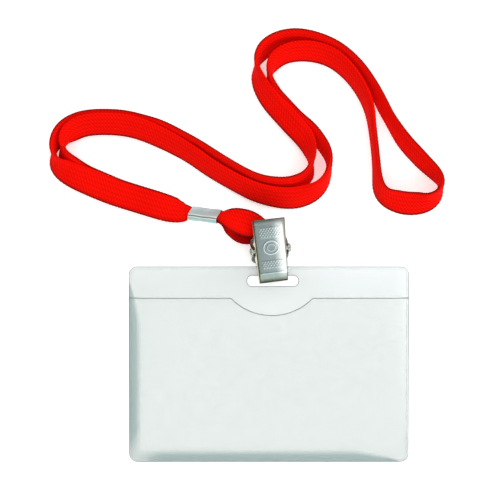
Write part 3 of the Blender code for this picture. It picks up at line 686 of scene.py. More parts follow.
def band_rows(stations, side=None):
    """Rows along the band every 0.6 mm: middle, across vector, width, thickness."""
    table = []
    for gx, gy, lean, width, thick, height in stations:
        x, y = at(gx, gy)
        stand = half_height(radians(lean), width * MM, thick * MM) + 0.05 * MM
        z = stand if height in (None, ON) else height * MM
        table.append((x, y, z, radians(lean), width * MM, thick * MM, height == ON))
    rows = rest_on_other_run(soften(smooth_curve(table, 0.6 * MM), 4.0, 7))
    heading = np.gradient(rows[:, :3], axis=0)
    heading /= np.linalg.norm(heading, axis=1)[:, None]
    made = []
    for row, t in zip(rows, heading):
        flat = np.array((-t[1], t[0], 0.0) if side is None else side)
        flat /= np.linalg.norm(flat) + 1e-12
        across = sin(row[3]) * flat + cos(row[3]) * np.array((0.0, 0.0, 1.0))
        across -= t * across.dot(t)
        across /= np.linalg.norm(across)
        made.append(np.r_[row[:3], across, row[4], row[5]])
    return np.array(made)


def whole_band():
    """The whole closed band, from its turn in the clip's window round to there again."""
    neck = band_rows(neck_route())
    clip = band_rows(clip_route(), side=(-crimp_long[1], crimp_long[0], 0.0))
    turn = int(np.argmax(clip[:, 0]))
    inside = []
    for layer, ss in ((+1, np.arange(2.7, -3.0, -0.6)), (-1, np.arange(-2.7, 3.0, 0.6))):
        inside.append(
            [np.r_[sleeve_point(layer, s * MM), crimp_wide, 4.4 * MM, 0.6 * MM] for s in ss]
        )
    return np.vstack(
        [clip[turn::-1], inside[0], neck, inside[1], clip[:turn:-1]]
    )


def along_rows(rows, count):
    """The closed band's rows at count even places, smoothed a little."""
    closed = np.vstack([rows, rows[:1]])
    gone = np.r_[0, np.cumsum(np.linalg.norm(np.diff(closed[:, :3], axis=0), axis=1))]
    length = gone[-1]
    spots = np.arange(count) * length / count
    fine = np.stack([np.interp(spots, gone, closed[:, c]) for c in range(8)], 1)
    sigma = 0.55 * MM / (length / count)
    reach = int(3 * sigma) + 1
    kernel = np.exp(-0.5 * (np.arange(-reach, reach + 1) / sigma) ** 2)
    kernel /= kernel.sum()
    padded = np.vstack([fine[-reach:], fine, fine[:reach]])
    fine = np.stack([np.convolve(padded[:, c], kernel, "valid") for c in range(8)], 1)
    return fine, length


STITCHES = 586
WALES = 26
PER_STITCH, PER_WALE = 4, 3


def fold_shades(rows, heading, points, u):
    """Painted shade at each point: along the folds at the outside of the pair, and towards the lower fold."""
    lean = rows[:, 3:5]
    size = np.linalg.norm(lean, axis=1)
    aside = np.stack([-heading[:, 1], heading[:, 0]], 1)
    aside /= np.linalg.norm(aside, axis=1)[:, None]
    way = np.where(size[:, None] > 0.05, lean / (size[:, None] + 1e-9), aside)
    place = ((points[..., :2] - rows[:, None, :2]) * way[:, None, :]).sum(2)
    over, under = place.max(1, keepdims=True) - place, place - place.min(1, keepdims=True)
    top = np.minimum(u, WALES - u)
    low = np.abs(u - WALES / 2)
    # a top fold with the band's other run just beyond it isn't at the outside
    some = rows[::PER_STITCH]
    crest = some[:, :2] + some[:, 3:5] * some[:, 6:7] / 2
    base = some[:, :2] - some[:, 3:5] * some[:, 6:7] / 2
    n = len(some)
    apart = np.linalg.norm(some[:, None, :2] - some[None, :, :2], axis=2)
    steps = np.abs(np.arange(n)[:, None] - np.arange(n)[None, :])
    apart[np.minimum(steps, n - steps) < 45] = 1.0
    other = apart.argmin(1)
    kernel = np.exp(-0.5 * (np.arange(-9, 10) / 3.0) ** 2)
    kernel /= kernel.sum()

    def covered(fold, sign):
        beyond = ((fold[other] - fold) * way[::PER_STITCH]).sum(1) * sign
        found = (apart.min(1) < 9.0 * MM) & (beyond > 0.25 * MM) & (beyond < 7.0 * MM)
        found = found.astype(float)
        found = np.convolve(np.r_[found[-9:], found, found[:9]], kernel, "valid")
        return np.repeat(found, PER_STITCH)[:, None]

    hidden, footed = covered(crest, 1), covered(base, -1)
    edge = np.clip((0.80 * MM - over) / (0.50 * MM), 0, 1) * (1 - hidden)
    edge = edge * np.clip((2.4 - np.minimum(top, low)) / 0.8, 0, 1)[None, :]
    foot = np.clip((0.80 * MM - under) / (0.50 * MM), 0, 1)
    foot = foot * np.clip((2.6 - np.minimum(top, low)) / 0.8, 0, 1)[None, :]
    rim = np.maximum(edge, foot * (1 - footed))
    shade = np.clip((2.2 * MM - under) / (1.8 * MM), 0, 1) * np.clip((5.0 - low) / 2.0, 0, 1)[None, :]
    # the lower run of the turn at the clip lies in the upper one's shadow
    far = np.minimum(np.arange(len(rows)), len(rows) - np.arange(len(rows)))
    turn = np.clip((0.045 - far / len(rows)) / 0.006, 0, 1) * np.clip((5.2 * MM - rows[:, 2]) / (2.0 * MM), 0, 1)
    shade = np.maximum(shade, 3.2 * turn[:, None])
    return rim, shade


def band_surface():
    rows, length = along_rows(whole_band(), STITCHES * PER_STITCH)
    count = len(rows)
    heading = np.roll(rows[:, :3], -1, 0) - np.roll(rows[:, :3], 1, 0)
    heading /= np.linalg.norm(heading, axis=1)[:, None]
    across = rows[:, 3:6] - heading * (rows[:, 3:6] * heading).sum(1)[:, None]
    across /= np.linalg.norm(across, axis=1)[:, None]
    through = np.cross(heading, across)
    ring = WALES * PER_WALE
    # the section: a flat oval with full edges, points evenly spaced round it
    a = np.linspace(0, 2 * pi, 4001)
    ox = np.sign(np.cos(a)) * np.abs(np.cos(a)) ** 0.62 * W / 2
    oy = np.sign(np.sin(a)) * np.abs(np.sin(a)) ** 0.80 * T / 2
    run = np.r_[0, np.cumsum(np.hypot(np.diff(ox), np.diff(oy)))]
    spots = np.arange(ring) * run[-1] / ring
    sx, sy = np.interp(spots, run, ox) / W, np.interp(spots, run, oy) / T
    nx, ny = np.gradient(np.r_[sy[-1], sy, sy[0]])[1:-1] * T, -np.gradient(
        np.r_[sx[-1], sx, sx[0]]
    )[1:-1] * W
    norm = np.hypot(nx, ny)
    nx, ny = nx / norm, ny / norm
    u = np.arange(ring) / PER_WALE
    v = np.arange(count) / PER_STITCH
    wale = (np.cos(pi * u) - 1) / 2
    stitch = 0.7 * np.cos(2 * pi * v[:, None] - pi * u[None, :])
    stitch += 0.3 * np.cos(2 * pi * v[:, None] + pi * u[None, :])
    full = np.clip((rows[:, 7] - 0.6 * MM) / (1.0 * MM), 0, 1)[:, None]
    height = (0.085 * MM * wale[None, :] + 0.045 * MM * stitch) * (0.35 + 0.65 * full)
    # slow changes in the knit's tension
    wave = (
        0.035 * MM * np.sin(v / 7.3 + 1.0)[:, None] * np.sin(u / 3.1)[None, :]
        + 0.025 * MM * np.sin(v / 17.0)[:, None] * np.cos(u / 2.2 + 0.6)[None, :]
    ) * full
    height = height + wave
    x = sx[None, :] * rows[:, 6:7] + nx[None, :] * height
    y = sy[None, :] * rows[:, 7:8] + ny[None, :] * height
    points = (
        rows[:, None, :3]
        + across[:, None, :] * x[..., None]
        + through[:, None, :] * y[..., None]
    )
    # the table carries the lower edge
    points[..., 2] = np.maximum(points[..., 2], 0.02 * MM)
    faces = grid_faces(count, ring, around=True, ends=True)
    obj = mesh_from("strap_band", points.reshape(-1, 3), faces)
    rim, shade = fold_shades(rows, heading, points, u)
    for key, values in (("rim", rim), ("shade", shade)):
        mark = obj.data.attributes.new(key, "FLOAT", "POINT")
        mark.data.foreach_set("value", values.astype(np.float32).ravel())
    # knit coordinates: wales round the band, stitches along it
    uv = obj.data.uv_layers.new(name="knit")
    fi, fj = np.meshgrid(np.arange(count), np.arange(ring), indexing="ij")
    fi, fj = fi.ravel(), fj.ravel()
    us = np.stack([fj, fj + 1, fj + 1, fj], 1) / PER_WALE
    vs = np.stack([fi, fi, fi + 1, fi + 1], 1) / PER_STITCH
    uv.data.foreach_set(
        "uv", np.stack([us, vs], 2).astype(np.float32).ravel()
    )
    return obj, rows[:, :3], length


def red_knit():
    n = Nodes("red_knit")
    uv = n.add("ShaderNodeUVMap", uv_map="knit").outputs[0]
    u, v, _ = n.split(uv)
    # slanted stitches, the same slant on both faces
    across, along = n.math("MULTIPLY", u, pi), n.math("MULTIPLY", v, 2 * pi)
    stitch = n.math(
        "ADD",
        n.math("MULTIPLY", n.math("COSINE", n.math("SUBTRACT", along, across)), 0.7),
        n.math("MULTIPLY", n.math("COSINE", n.math("ADD", along, across)), 0.3),
    )
    lit = n.range(stitch, -1.0, 1.0)
    groove = n.range(n.math("COSINE", n.math("MULTIPLY", u, pi)), -1.0, 0.6)
    place = n.place()
    fuzz = n.noise(place, 5200.0, 3.0, 0.6)
    slow = n.noise(place, 60.0, 2.0, 0.5)
    # painted highlight on the stitches' tops, painted shade between them
    base = n.mix(lit, rgb(225, 0, 0), rgb(248, 20, 3))
    # painted shade in the grooves between the wales
    base = n.mix(n.range(groove, 0.0, 1.0, 0.22, 0.0), base, rgb(150, 2, 0))
    base = n.mix(n.range(slow, 0.35, 0.75, 0.0, 0.25), base, rgb(252, 12, 3))
    # painted shade: darker at the outside folds and a little towards the lower fold
    rim = n.add("ShaderNodeAttribute", attribute_name="rim").outputs["Fac"]
    shade = n.add("ShaderNodeAttribute", attribute_name="shade").outputs["Fac"]
    base = n.mix(n.math("MULTIPLY", shade, 0.22), base, rgb(150, 3, 2))
    base = n.mix(n.math("MULTIPLY", rim, 0.88), base, rgb(104, 14, 9))
    n.set(Base_Color=base, Roughness=0.92)
    n.bsdf.inputs["Specular IOR Level"].default_value = 0.05
    n.bsdf.inputs["Sheen Weight"].default_value = 0.0
    n.bsdf.inputs["Sheen Roughness"].default_value = 0.5
    n.bsdf.inputs["Sheen Tint"].default_value = rgb(255, 60, 30)
    fibre = n.add(
        "ShaderNodeTexWave",
        {
            "Vector": n.add(
                "ShaderNodeCombineXYZ",
                {0: n.math("MULTIPLY", u, 1.0), 1: n.math("MULTIPLY", v, 0.55), 2: 0.0},
            ).outputs[0],
            "Scale": 2.4,
            "Distortion": 1.2,
            "Detail": 2.0,
        },
        bands_direction="DIAGONAL",
    ).outputs[1]
    height = n.math("ADD", n.math("MULTIPLY", stitch, 0.4), n.math("MULTIPLY", fibre, 0.35))
    height = n.math("ADD", height, n.math("MULTIPLY", fuzz, 0.5))
    n.bump(height, 0.55, 0.00006)
    return n.mat


strap, strap_path, strap_length = band_surface()
strap.data.materials.append(red_knit())
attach(strap, "clip_base")
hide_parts("strap_outer_run", "strap_inner_run", "strap_clip_loop")

# ------------------------------------------------------------------- the pocket
# Pocket frame: origin at the slot's middle, x across, y up the pocket.
LEFT, RIGHT = -47.5 - SLOT_X, 47.5 - SLOT_X
TOP = POCKET_TOP_Y - SLOT_Y
LOW = TOP - 66.6
tilt = asin((SLOT_Z - BACK_T / 2) / -LOW)
pocket_frame = (
    Matrix.Translation(Vector((SLOT_X, SLOT_Y, SLOT_Z)) * MM)
    @ Matrix.Rotation(tilt, 4, "X")
    @ Matrix.Scale(MM, 4)
)


def round_rect(x0, x1, y0, y1, r, steps=14):
    """Points of a rounded rectangle, counter-clockwise, in mm."""
    points = []
    for cx, cy, start in (
        (x1 - r, y0 + r, -90),
        (x1 - r, y1 - r, 0),
        (x0 + r, y1 - r, 90),
        (x0 + r, y0 + r, 180),
    ):
        for k in range(steps + 1):
            a = radians(start + 90 * k / steps)
            points.append((cx + r * cos(a), cy + r * sin(a)))
    return points


def blank(name, outlines, thick, rim):
    """A flat sheet of this thickness with holes and a rounded rim, in mm, as a bmesh."""
    curve = bpy.data.curves.new(name, "CURVE")
    curve.dimensions = "2D"
    curve.fill_mode = "BOTH"
    for points in outlines:
        spline = curve.splines.new("POLY")
        spline.points.add(len(points) - 1)
        for p, (x, y) in zip(spline.points, points):
            p.co = (x, y, 0, 1)
        spline.use_cyclic_u = True
    curve.extrude = thick / 2 - rim
    curve.bevel_depth = rim
    curve.bevel_resolution = 2
    curve.offset = -rim
    obj = bpy.data.objects.new(name, curve)
    scene.collection.objects.link(obj)
    bpy.context.view_layer.update()
    graph = bpy.context.evaluated_depsgraph_get()
    mesh = bpy.data.meshes.new_from_object(obj.evaluated_get(graph))
    bm = bmesh.new()
    bm.from_mesh(mesh)
    bpy.data.meshes.remove(mesh)
    bpy.data.objects.remove(obj, do_unlink=True)
    bpy.data.curves.remove(curve)
    bmesh.ops.remove_doubles(bm, verts=bm.verts, dist=1e-5)
    bmesh.ops.recalc_face_normals(bm, faces=bm.faces)
    return bm


def slice_up(bm, axis, places):
    """Cuts the mesh's faces along planes across an axis, so that it can bend there."""
    normal = [0, 0, 0]
    normal[axis] = 1
    for place in places:
        spot = [0, 0, 0]
        spot[axis] = place
        bmesh.ops.bisect_plane(
            bm,
            geom=list(bm.verts) + list(bm.edges) + list(bm.faces),
            dist=1e-5,
            plane_co=spot,
            plane_no=normal,
        )


def from_bm(name, bm, matrix, sharp=None):
    bm.transform(matrix)
    bmesh.ops.recalc_face_normals(bm, faces=bm.faces)
    mesh = bpy.data.meshes.new(name)
    bm.to_mesh(mesh)
    bm.free()
    mesh.shade_smooth()
    if sharp:
        mesh.set_sharp_from_angle(angle=radians(sharp))
    obj = bpy.data.objects.new(name, mesh)
    scene.collection.objects.link(obj)
    return obj


def smoothstep(a, b, x):
    s = np.clip((x - a) / (b - a), 0, 1)
    return s * s * (3 - 2 * s)


slot_half, slot_r = SLOT_L / 2, SLOT_W / 2
back_sheet = from_bm(
    "back_film",
    blank(
        "back_film",
        [
            round_rect(LEFT, RIGHT, LOW, TOP, POCKET_R),
            round_rect(-slot_half, slot_half, -slot_r, slot_r, slot_r * 0.999),
        ],
        BACK_T,
        0.13,
    ),
    pocket_frame,
    40,
)


def inset_of(x, y):
    """Distance in from the pocket's left, right and lower edges, corners rounded."""
    r = 7.0
    dx = np.minimum(x - LEFT, RIGHT - x)
    dy = y - LOW
    cx, cy = np.maximum(r - dx, 0), np.maximum(r - dy, 0)
    return np.where((cx > 0) & (cy > 0), r - np.hypot(cx, cy), np.minimum(dx, dy))


def front_height(x, y):
    """Height of the front film's middle surface in the pocket frame."""
    rest = BACK_T / 2 + FRONT_T / 2 - 0.01
    inside = inset_of(x, y) - WELD_W - 0.15
    rise = (GAP + BULGE) * smoothstep(0, BULGE_RUN + 0.6, inside)
    # a faint slackness of the film
    soft = smoothstep(2.0, 14.0, inside)
    slack = 0.16 * np.sin(x / 13.0 + 0.7) * np.sin(y / 19.0 + 0.4)
    slack = slack + 0.07 * np.sin((x + 0.6 * y) / 7.5)
    return rest + rise + slack * soft


def front_film():
    front_top = FRONT_TOP - SLOT_Y
    radius = (NOTCH_HALF**2 + NOTCH_DEEP**2) / (2 * NOTCH_DEEP)
    cx = NOTCH_X - SLOT_X
    edge = np.array([0, 0.04, 0.1, 0.2, 0.32, 0.46, 0.62, 0.8, 1.0, 1.2, 1.45, 1.7, 2.0])
    edge = np.r_[edge, np.arange(2.3, 6.0, 0.3)]
    inner = np.arange(LEFT + 6.5, RIGHT - 6.2, 1.1)
    near = np.r_[
        np.arange(cx - NOTCH_HALF - 1.2, cx - NOTCH_HALF + 1.2, 0.12),
        np.arange(cx + NOTCH_HALF - 1.2, cx + NOTCH_HALF + 1.2, 0.12),
        np.arange(cx - NOTCH_HALF, cx + NOTCH_HALF, 0.5),
    ]
    xs = np.sort(np.r_[LEFT + edge, inner, near, RIGHT - edge])
    xs = xs[np.r_[True, np.diff(xs) > 0.03]]
    # the top edge with the thumb notch, its two corners eased
    fine = np.linspace(LEFT - 1, RIGHT + 1, 9001)
    off = np.abs(fine - cx)
    dip = np.sqrt(np.maximum(radius**2 - off**2, 0)) - (radius - NOTCH_DEEP)
    dip = np.where(off < NOTCH_HALF, dip, 0)
    kernel = np.ones(75) / 75
    for _ in range(2):
        dip = np.convolve(np.pad(dip, 37, mode="edge"), kernel, "valid")
    top = front_top - np.interp(xs, fine, dip)
    dx = np.minimum(xs - LEFT, RIGHT - xs)
    low = LOW + np.where(
        dx < POCKET_R, POCKET_R - np.sqrt(np.maximum(POCKET_R**2 - (POCKET_R - dx) ** 2, 0)), 0
    )
    s = np.r_[edge, np.arange(6.5, 54.0, 1.5)] / 55.5
    s = np.r_[s, 1 - np.array((1.1, 0.75, 0.52, 0.36, 0.25, 0.16, 0.08, 0.0)) / 55.5]
    ys = low[None, :] + (top - low)[None, :] * s[:, None]
    x2 = np.broadcast_to(xs[None, :], ys.shape)
    z = front_height(x2, ys)
    grid = np.stack([x2, ys, z], 2)
    obj = plate_from("front_film", grid, FRONT_T)
    # how near each point is to the open top edge, across the edge's own slope
    slope = np.gradient(top, xs)
    near = (top[None, :] - ys) / np.sqrt(1 + slope**2)[None, :]
    share = 1 - smoothstep(0.12, 0.40, near)
    mark = obj.data.attributes.new("edge", "FLOAT", "POINT")
    values = np.zeros(len(obj.data.vertices), np.float32)
    values[: share.size] = share.ravel()
    values[share.size : 2 * share.size] = share.ravel()
    mark.data.foreach_set("value", values)
    obj.data.transform(pocket_frame)
    return obj


front_sheet = front_film()


def weld_bead():
    """The raised seal line just inside the edge, all the way round."""
    inset, half, high = 0.80, 0.17, 0.09
    ring = round_rect(LEFT + inset, RIGHT - inset, LOW + inset, TOP - inset, POCKET_R - inset)
    ring = np.array(ring)
    closed = np.vstack([ring, ring[:1]])
    gone = np.r_[0, np.cumsum(np.hypot(*np.diff(closed, axis=0).T))]
    spots = np.arange(900) * gone[-1] / 900
    path = np.stack([np.interp(spots, gone, closed[:, c]) for c in range(2)], 1)
    t = np.roll(path, -1, 0) - np.roll(path, 1, 0)
    t /= np.linalg.norm(t, axis=1)[:, None]
    out = np.stack([t[:, 1], -t[:, 0]], 1)
    front_top = FRONT_TOP - SLOT_Y
    # it steps down from the front film to the back film above the pocket's mouth
    over = smoothstep(front_top + 0.5, front_top - 0.1, path[:, 1])
    base = BACK_T / 2 + over * (FRONT_T - 0.02)
    profile = [(half * cos(a), high * sin(a)) for a in np.linspace(0, pi, 9)]
    profile += [(-half, -0.1), (half, -0.1)]
    points = []
    for p, o, z in zip(path, out, base):
        for a, h in profile:
            points.append((*(p + o * a), z + h))
    faces = grid_faces(len(path), len(profile), around=True, ends=True)
    obj = mesh_from("seal_line", points, faces)
    fix = bmesh.new()
    fix.from_mesh(obj.data)
    bmesh.ops.recalc_face_normals(fix, faces=fix.faces)
    fix.to_mesh(obj.data)
    fix.free()
    obj.data.transform(pocket_frame)
    return obj


seal = weld_bead()


def film(name, clear, roll=0.0, edge=0.0, outline=False, marked=False):
    """Clear soft film: faint grey-green with a fine haze, painted light towards its right and lower down, a darker
    painted shade, the roll, along its left and lower edges, and darker cut edges.
    """
    n = Nodes(name)
    place = n.place()
    x, y, z = n.split(place)
    haze = n.noise(place, 300.0, 4.0, 0.6)
    cloud = n.noise(place, 22.0, 2.0, 0.5)
    xm, ym = n.math("MULTIPLY", x, 1000.0), n.math("MULTIPLY", y, 1000.0)
    # painted light: lighter towards the right
    base = n.mix(n.range(xm, -10.0, 30.0), rgb(181, 191, 190), rgb(198, 204, 207))
    # painted light: brighter lower down, where the front sheet lies over it
    base = n.mix(n.range(ym, 24.0, 6.0, 0.0, 1.0, smooth=True), base, rgb(203, 211, 209))
    base = n.mix(n.range(cloud, 0.3, 0.7, 0.0, 0.04), base, rgb(160, 172, 170))
    alpha = n.range(haze, 0.3, 0.75, clear - 0.006, clear + 0.006)
    if roll:
        # painted shade along the left and lower edges: how wide the roll is; it narrows to nothing at its two ends
        wide_left = n.math("POWER", n.range(ym, 19.5, 5.0, 0.001, 1.0), 0.6)
        wide_low = n.math("POWER", n.range(xm, 44.5, 29.0, 0.001, 1.0), 0.6)
        t1 = n.math("DIVIDE", n.math("ADD", xm, 47.5), n.math("MULTIPLY", wide_left, 4.2))
        t2 = n.math("DIVIDE", n.math("ADD", ym, 41.5), n.math("MULTIPLY", wide_low, 4.2))
        t = n.math("SMOOTH_MIN", t1, t2, 0.75)
        t = n.math("MAXIMUM", n.math("MINIMUM", t, 1.0), 0.0)
        band = n.math("SUBTRACT", 1.0, n.math("MULTIPLY", t, t))
        # the painted shade is lighter right in the corner
        dx, dy = n.math("ADD", xm, 47.5), n.math("ADD", ym, 41.5)
        far = n.math(
            "SQRT", n.math("ADD", n.math("MULTIPLY", dx, dx), n.math("MULTIPLY", dy, dy))
        )
        band = n.math("MULTIPLY", band, n.math("POWER", n.range(far, 0.0, 12.2, 0.001, 1.0), 0.8))
        band = n.math("POWER", band, 1.3)
        # the painted shade: a darker tint and less clear film
        base = n.mix(n.range(band, 0.0, 0.6, 0.0, 1.0), base, rgb(154, 174, 173))
        alpha = n.math("ADD", alpha, n.math("MULTIPLY", band, roll), clamp=True)
    lines = None
    if outline:
        # cut edges: the sheet's outline and the slot's
        def edge_distance(cx, cy, hx, hy, r):
            qx = n.math("SUBTRACT", n.math("ABSOLUTE", n.math("SUBTRACT", xm, cx)), hx - r)
            qy = n.math("SUBTRACT", n.math("ABSOLUTE", n.math("SUBTRACT", ym, cy)), hy - r)
            ox, oy = n.math("MAXIMUM", qx, 0.0), n.math("MAXIMUM", qy, 0.0)
            away = n.math(
                "SQRT", n.math("ADD", n.math("MULTIPLY", ox, ox), n.math("MULTIPLY", oy, oy))
            )
            inside = n.math("MINIMUM", n.math("MAXIMUM", qx, qy), 0.0)
            return n.math("SUBTRACT", n.math("ADD", away, inside), r)

        k = cos(tilt)
        mid = SLOT_Y + (TOP + LOW) / 2 * k
        rim = n.math("ABSOLUTE", edge_distance(0.0, mid, 47.5, 33.3 * k, POCKET_R))
        cut_out = n.math("ABSOLUTE", edge_distance(SLOT_X, SLOT_Y, slot_half, slot_r * k, slot_r * k * 0.999))
        lines = n.range(n.math("MINIMUM", rim, cut_out), 0.08, 0.28, 1.0, 0.0, smooth=True)
    if marked:
        lines = n.add("ShaderNodeAttribute", attribute_name="edge").outputs["Fac"]
    if lines is not None:
        base = n.mix(lines, base, rgb(100, 114, 114))
        alpha = n.math("ADD", alpha, n.math("MULTIPLY", lines, edge), clamp=True)
    n.set(Base_Color=base, Alpha=alpha)
    n.feed(n.bsdf, "Roughness", n.range(haze, 0.2, 0.8, 0.14, 0.22))
    n.bsdf.inputs["Specular IOR Level"].default_value = 0.14
    n.bsdf.inputs["IOR"].default_value = 1.46
    n.bump(n.math("ADD", n.math("MULTIPLY", haze, 0.05), cloud), 0.02, 0.0003)
    return n.mat


back_sheet.data.materials.append(film("film_back", 0.337, roll=0.33, edge=0.64, outline=True))
front_sheet.data.materials.append(film("film_front", 0.006, edge=0.56, marked=True))
seal.data.materials.append(film("film_seal", 0.10))
for obj, node in ((back_sheet, "back_sheet"), (front_sheet, "front_sheet")):
    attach(obj, "pocket")
    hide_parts(node)
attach(seal, "pocket")

# --------------------------------------------------------------------- the clip
# Clip frame: u across, v towards the tails, w up, origin on the pin's axis, in mm.
clip_frame = (
    Matrix.Translation(CLIP)
    @ Matrix.Rotation(CLIP_TURN, 4, "Z")
    @ Matrix.Rotation(CLIP_ROLL, 4, "Y")
    @ Matrix.Scale(MM, 4)
)


def along(table, v):
    table = np.array(table)
    return np.interp(-np.asarray(v, float), -table[:, 0], table[:, 1])


def eased(table, v, reach):
    """The table's value, its corners rounded over this reach."""
    v = np.asarray(v, float)
    steps = np.linspace(-reach, reach, 15)
    weights = 1 - np.abs(steps) / (reach * 1.07)
    table = np.array(table)
    order = np.argsort(table[:, 0])
    x, y = table[order, 0], table[order, 1]
    x = np.r_[x[0] - 2, x, x[-1] + 2]
    y = np.r_[
        y[0] - 2 * (y[1] - y[0]) / (x[2] - x[1]), y, y[-1] + 2 * (y[-1] - y[-2]) / (x[-2] - x[-3])
    ]
    total = sum(w * np.interp(v + s, x, y) for s, w in zip(steps, weights))
    return total / weights.sum()


FRONT_RISE = [(10.22, 5.85), (9.4, 5.78), (-7.9, 1.15), (-9.0, 0.72)]
FRONT_RISE += [(-9.9, 0.1), (-10.55, -0.50), (-10.85, -0.86)]
REAR_RISE = [(10.22, -1.35), (4.2, -2.2), (-3.8, -3.3), (-7.4, -3.8)]
REAR_RISE += [(-8.6, -3.72), (-9.6, -3.15), (-10.3, -2.40), (-10.7, -1.86)]
FRONT_HALF = [(10.22, 5.33), (-10.9, 4.75)]
EAR_R, EAR_DROP = 2.15, 3.15


def flange_depth(v):
    base = along([(10.22, 0.55), (8.0, 0.6), (5.4, 1.0), (-5.0, 1.35), (-10.9, 0.5)], v)
    far = np.abs(v)
    ear = EAR_DROP + np.sqrt(np.maximum(EAR_R**2 - v * v, 0)) * 0.97
    share = smoothstep(4.6, EAR_R, far) ** 0.8
    side = base + (EAR_DROP - base) * share
    return np.where(far < EAR_R, ear, side)


def relief(u, v):
    """Stamped relief of the front plate, in mm: two knurled fields, an oval ring and a crease line."""
    half = along(FRONT_HALF, v)
    inside = np.minimum(half - 1.0 - np.abs(u), np.minimum(8.3 - v, v + 7.1))
    # the crease line above the jaw
    crease = np.exp(-(((v + 7.75) / 0.16) ** 2)) * (np.abs(u) < half - 0.7)
    # an oval ring with a smaller one in it
    ring = np.hypot(u / 2.55, (v - 0.75) / 2.25)
    oval = np.exp(-(((ring - 1) * 2.4 / 0.17) ** 2)) + 0.8 * np.exp(-(((ring - 0.52) * 2.4 / 0.15) ** 2))
    # knurled fields towards the tail and the jaw, with rounded ends
    a = np.abs(np.sin(pi * (u + v * 0.75) / 0.98))
    b = np.abs(np.sin(pi * (u - v * 0.75) / 0.98))
    knurl = np.minimum(a, b)
    upper = smoothstep(0.0, 0.25, 1.9 - np.abs(v - 5.9)) * smoothstep(0.0, 0.3, half - 1.3 - np.abs(u))
    lower = smoothstep(0.0, 0.25, 1.45 - np.abs(v + 4.9)) * smoothstep(0.0, 0.3, half - 1.3 - np.abs(u))
    field = upper + lower
    return 0.05 * crease + 0.075 * oval + 0.062 * knurl * field


def front_lever():
    v = np.r_[np.arange(10.22, -10.85, -0.125), -10.85]
    v = np.r_[v, 2.15, 2.13, 2.09, 2.02, -2.15, -2.13, -2.09, -2.02]
    v = np.unique(np.round(v, 4))[::-1]
    v = v[np.r_[True, -np.diff(v) > 0.012]]
    half, rise = along(FRONT_HALF, v), eased(FRONT_RISE, v, 0.55)
    # the tail's last stretch turns up
    rise = rise + 0.05 + 0.22 * smoothstep(8.4, 10.6, v)
    drop = flange_depth(v)
    out = drop * sin(FLARE)
    fold = 0.50
    side = []
    # down the flange, from its lower edge up to the fold
    corner = np.stack([half, rise], 1)
    foot = np.stack([half + out, rise - drop], 1)
    reach = np.hypot(*(foot - corner).T)
    start = corner + (foot - corner) * (np.minimum(fold, reach * 0.8) / reach)[:, None]
    end = corner - np.array((fold, 0.0))
    for f in np.linspace(0, 1, 12)[:-1]:
        side.append(foot + (start - foot) * f)
    for f in np.linspace(0, 1, 9):
        side.append(start * (1 - f) ** 2 + corner * 2 * f * (1 - f) + end * f * f)
    side = np.array(side)
    inner = np.linspace(-1, 1, 86)[1:-1]
    columns = [np.stack([-s[:, 0], v, s[:, 1]], 1) for s in side]
    for f in inner:
        u = f * (half - fold)
        columns.append(np.stack([u, v, rise + 0.20 * (1 - f * f)], 1))
    columns += [np.stack([s[:, 0], v, s[:, 1]], 1) for s in side[::-1]]
    grid = np.stack(columns, 1)
    normal = normals_of(grid)
    if normal[:, grid.shape[1] // 2, 2].mean() < 0:
        normal = -normal
    height = relief(grid[..., 0], grid[..., 1]) * smoothstep(
        -0.2, 0.35, (along(FRONT_HALF, grid[..., 1]) - 0.6) - np.abs(grid[..., 0])
    )
    grid = grid + normal * height[..., None]
    obj = plate_from("front_lever_plate", grid, LEVER_T, 0.30)
    mark = obj.data.attributes.new("relief", "FLOAT", "POINT")
    values = np.zeros(len(obj.data.vertices), np.float32)
    values[: height.size] = height.ravel() / 0.08
    mark.data.foreach_set("value", values)
    hole = bpy.data.meshes.new("hole")
    bm = bmesh.new()
    bmesh.ops.create_cone(
        bm, cap_ends=True, segments=40, radius1=0.88, radius2=0.88, depth=20,
        matrix=Matrix.Rotation(pi / 2, 4, "Y"),
    )
    bm.to_mesh(hole)
    bm.free()
    cutter = bpy.data.objects.new("hole", hole)
    scene.collection.objects.link(cutter)
    cut(obj, [cutter])
    obj.data.transform(clip_frame)
    return obj


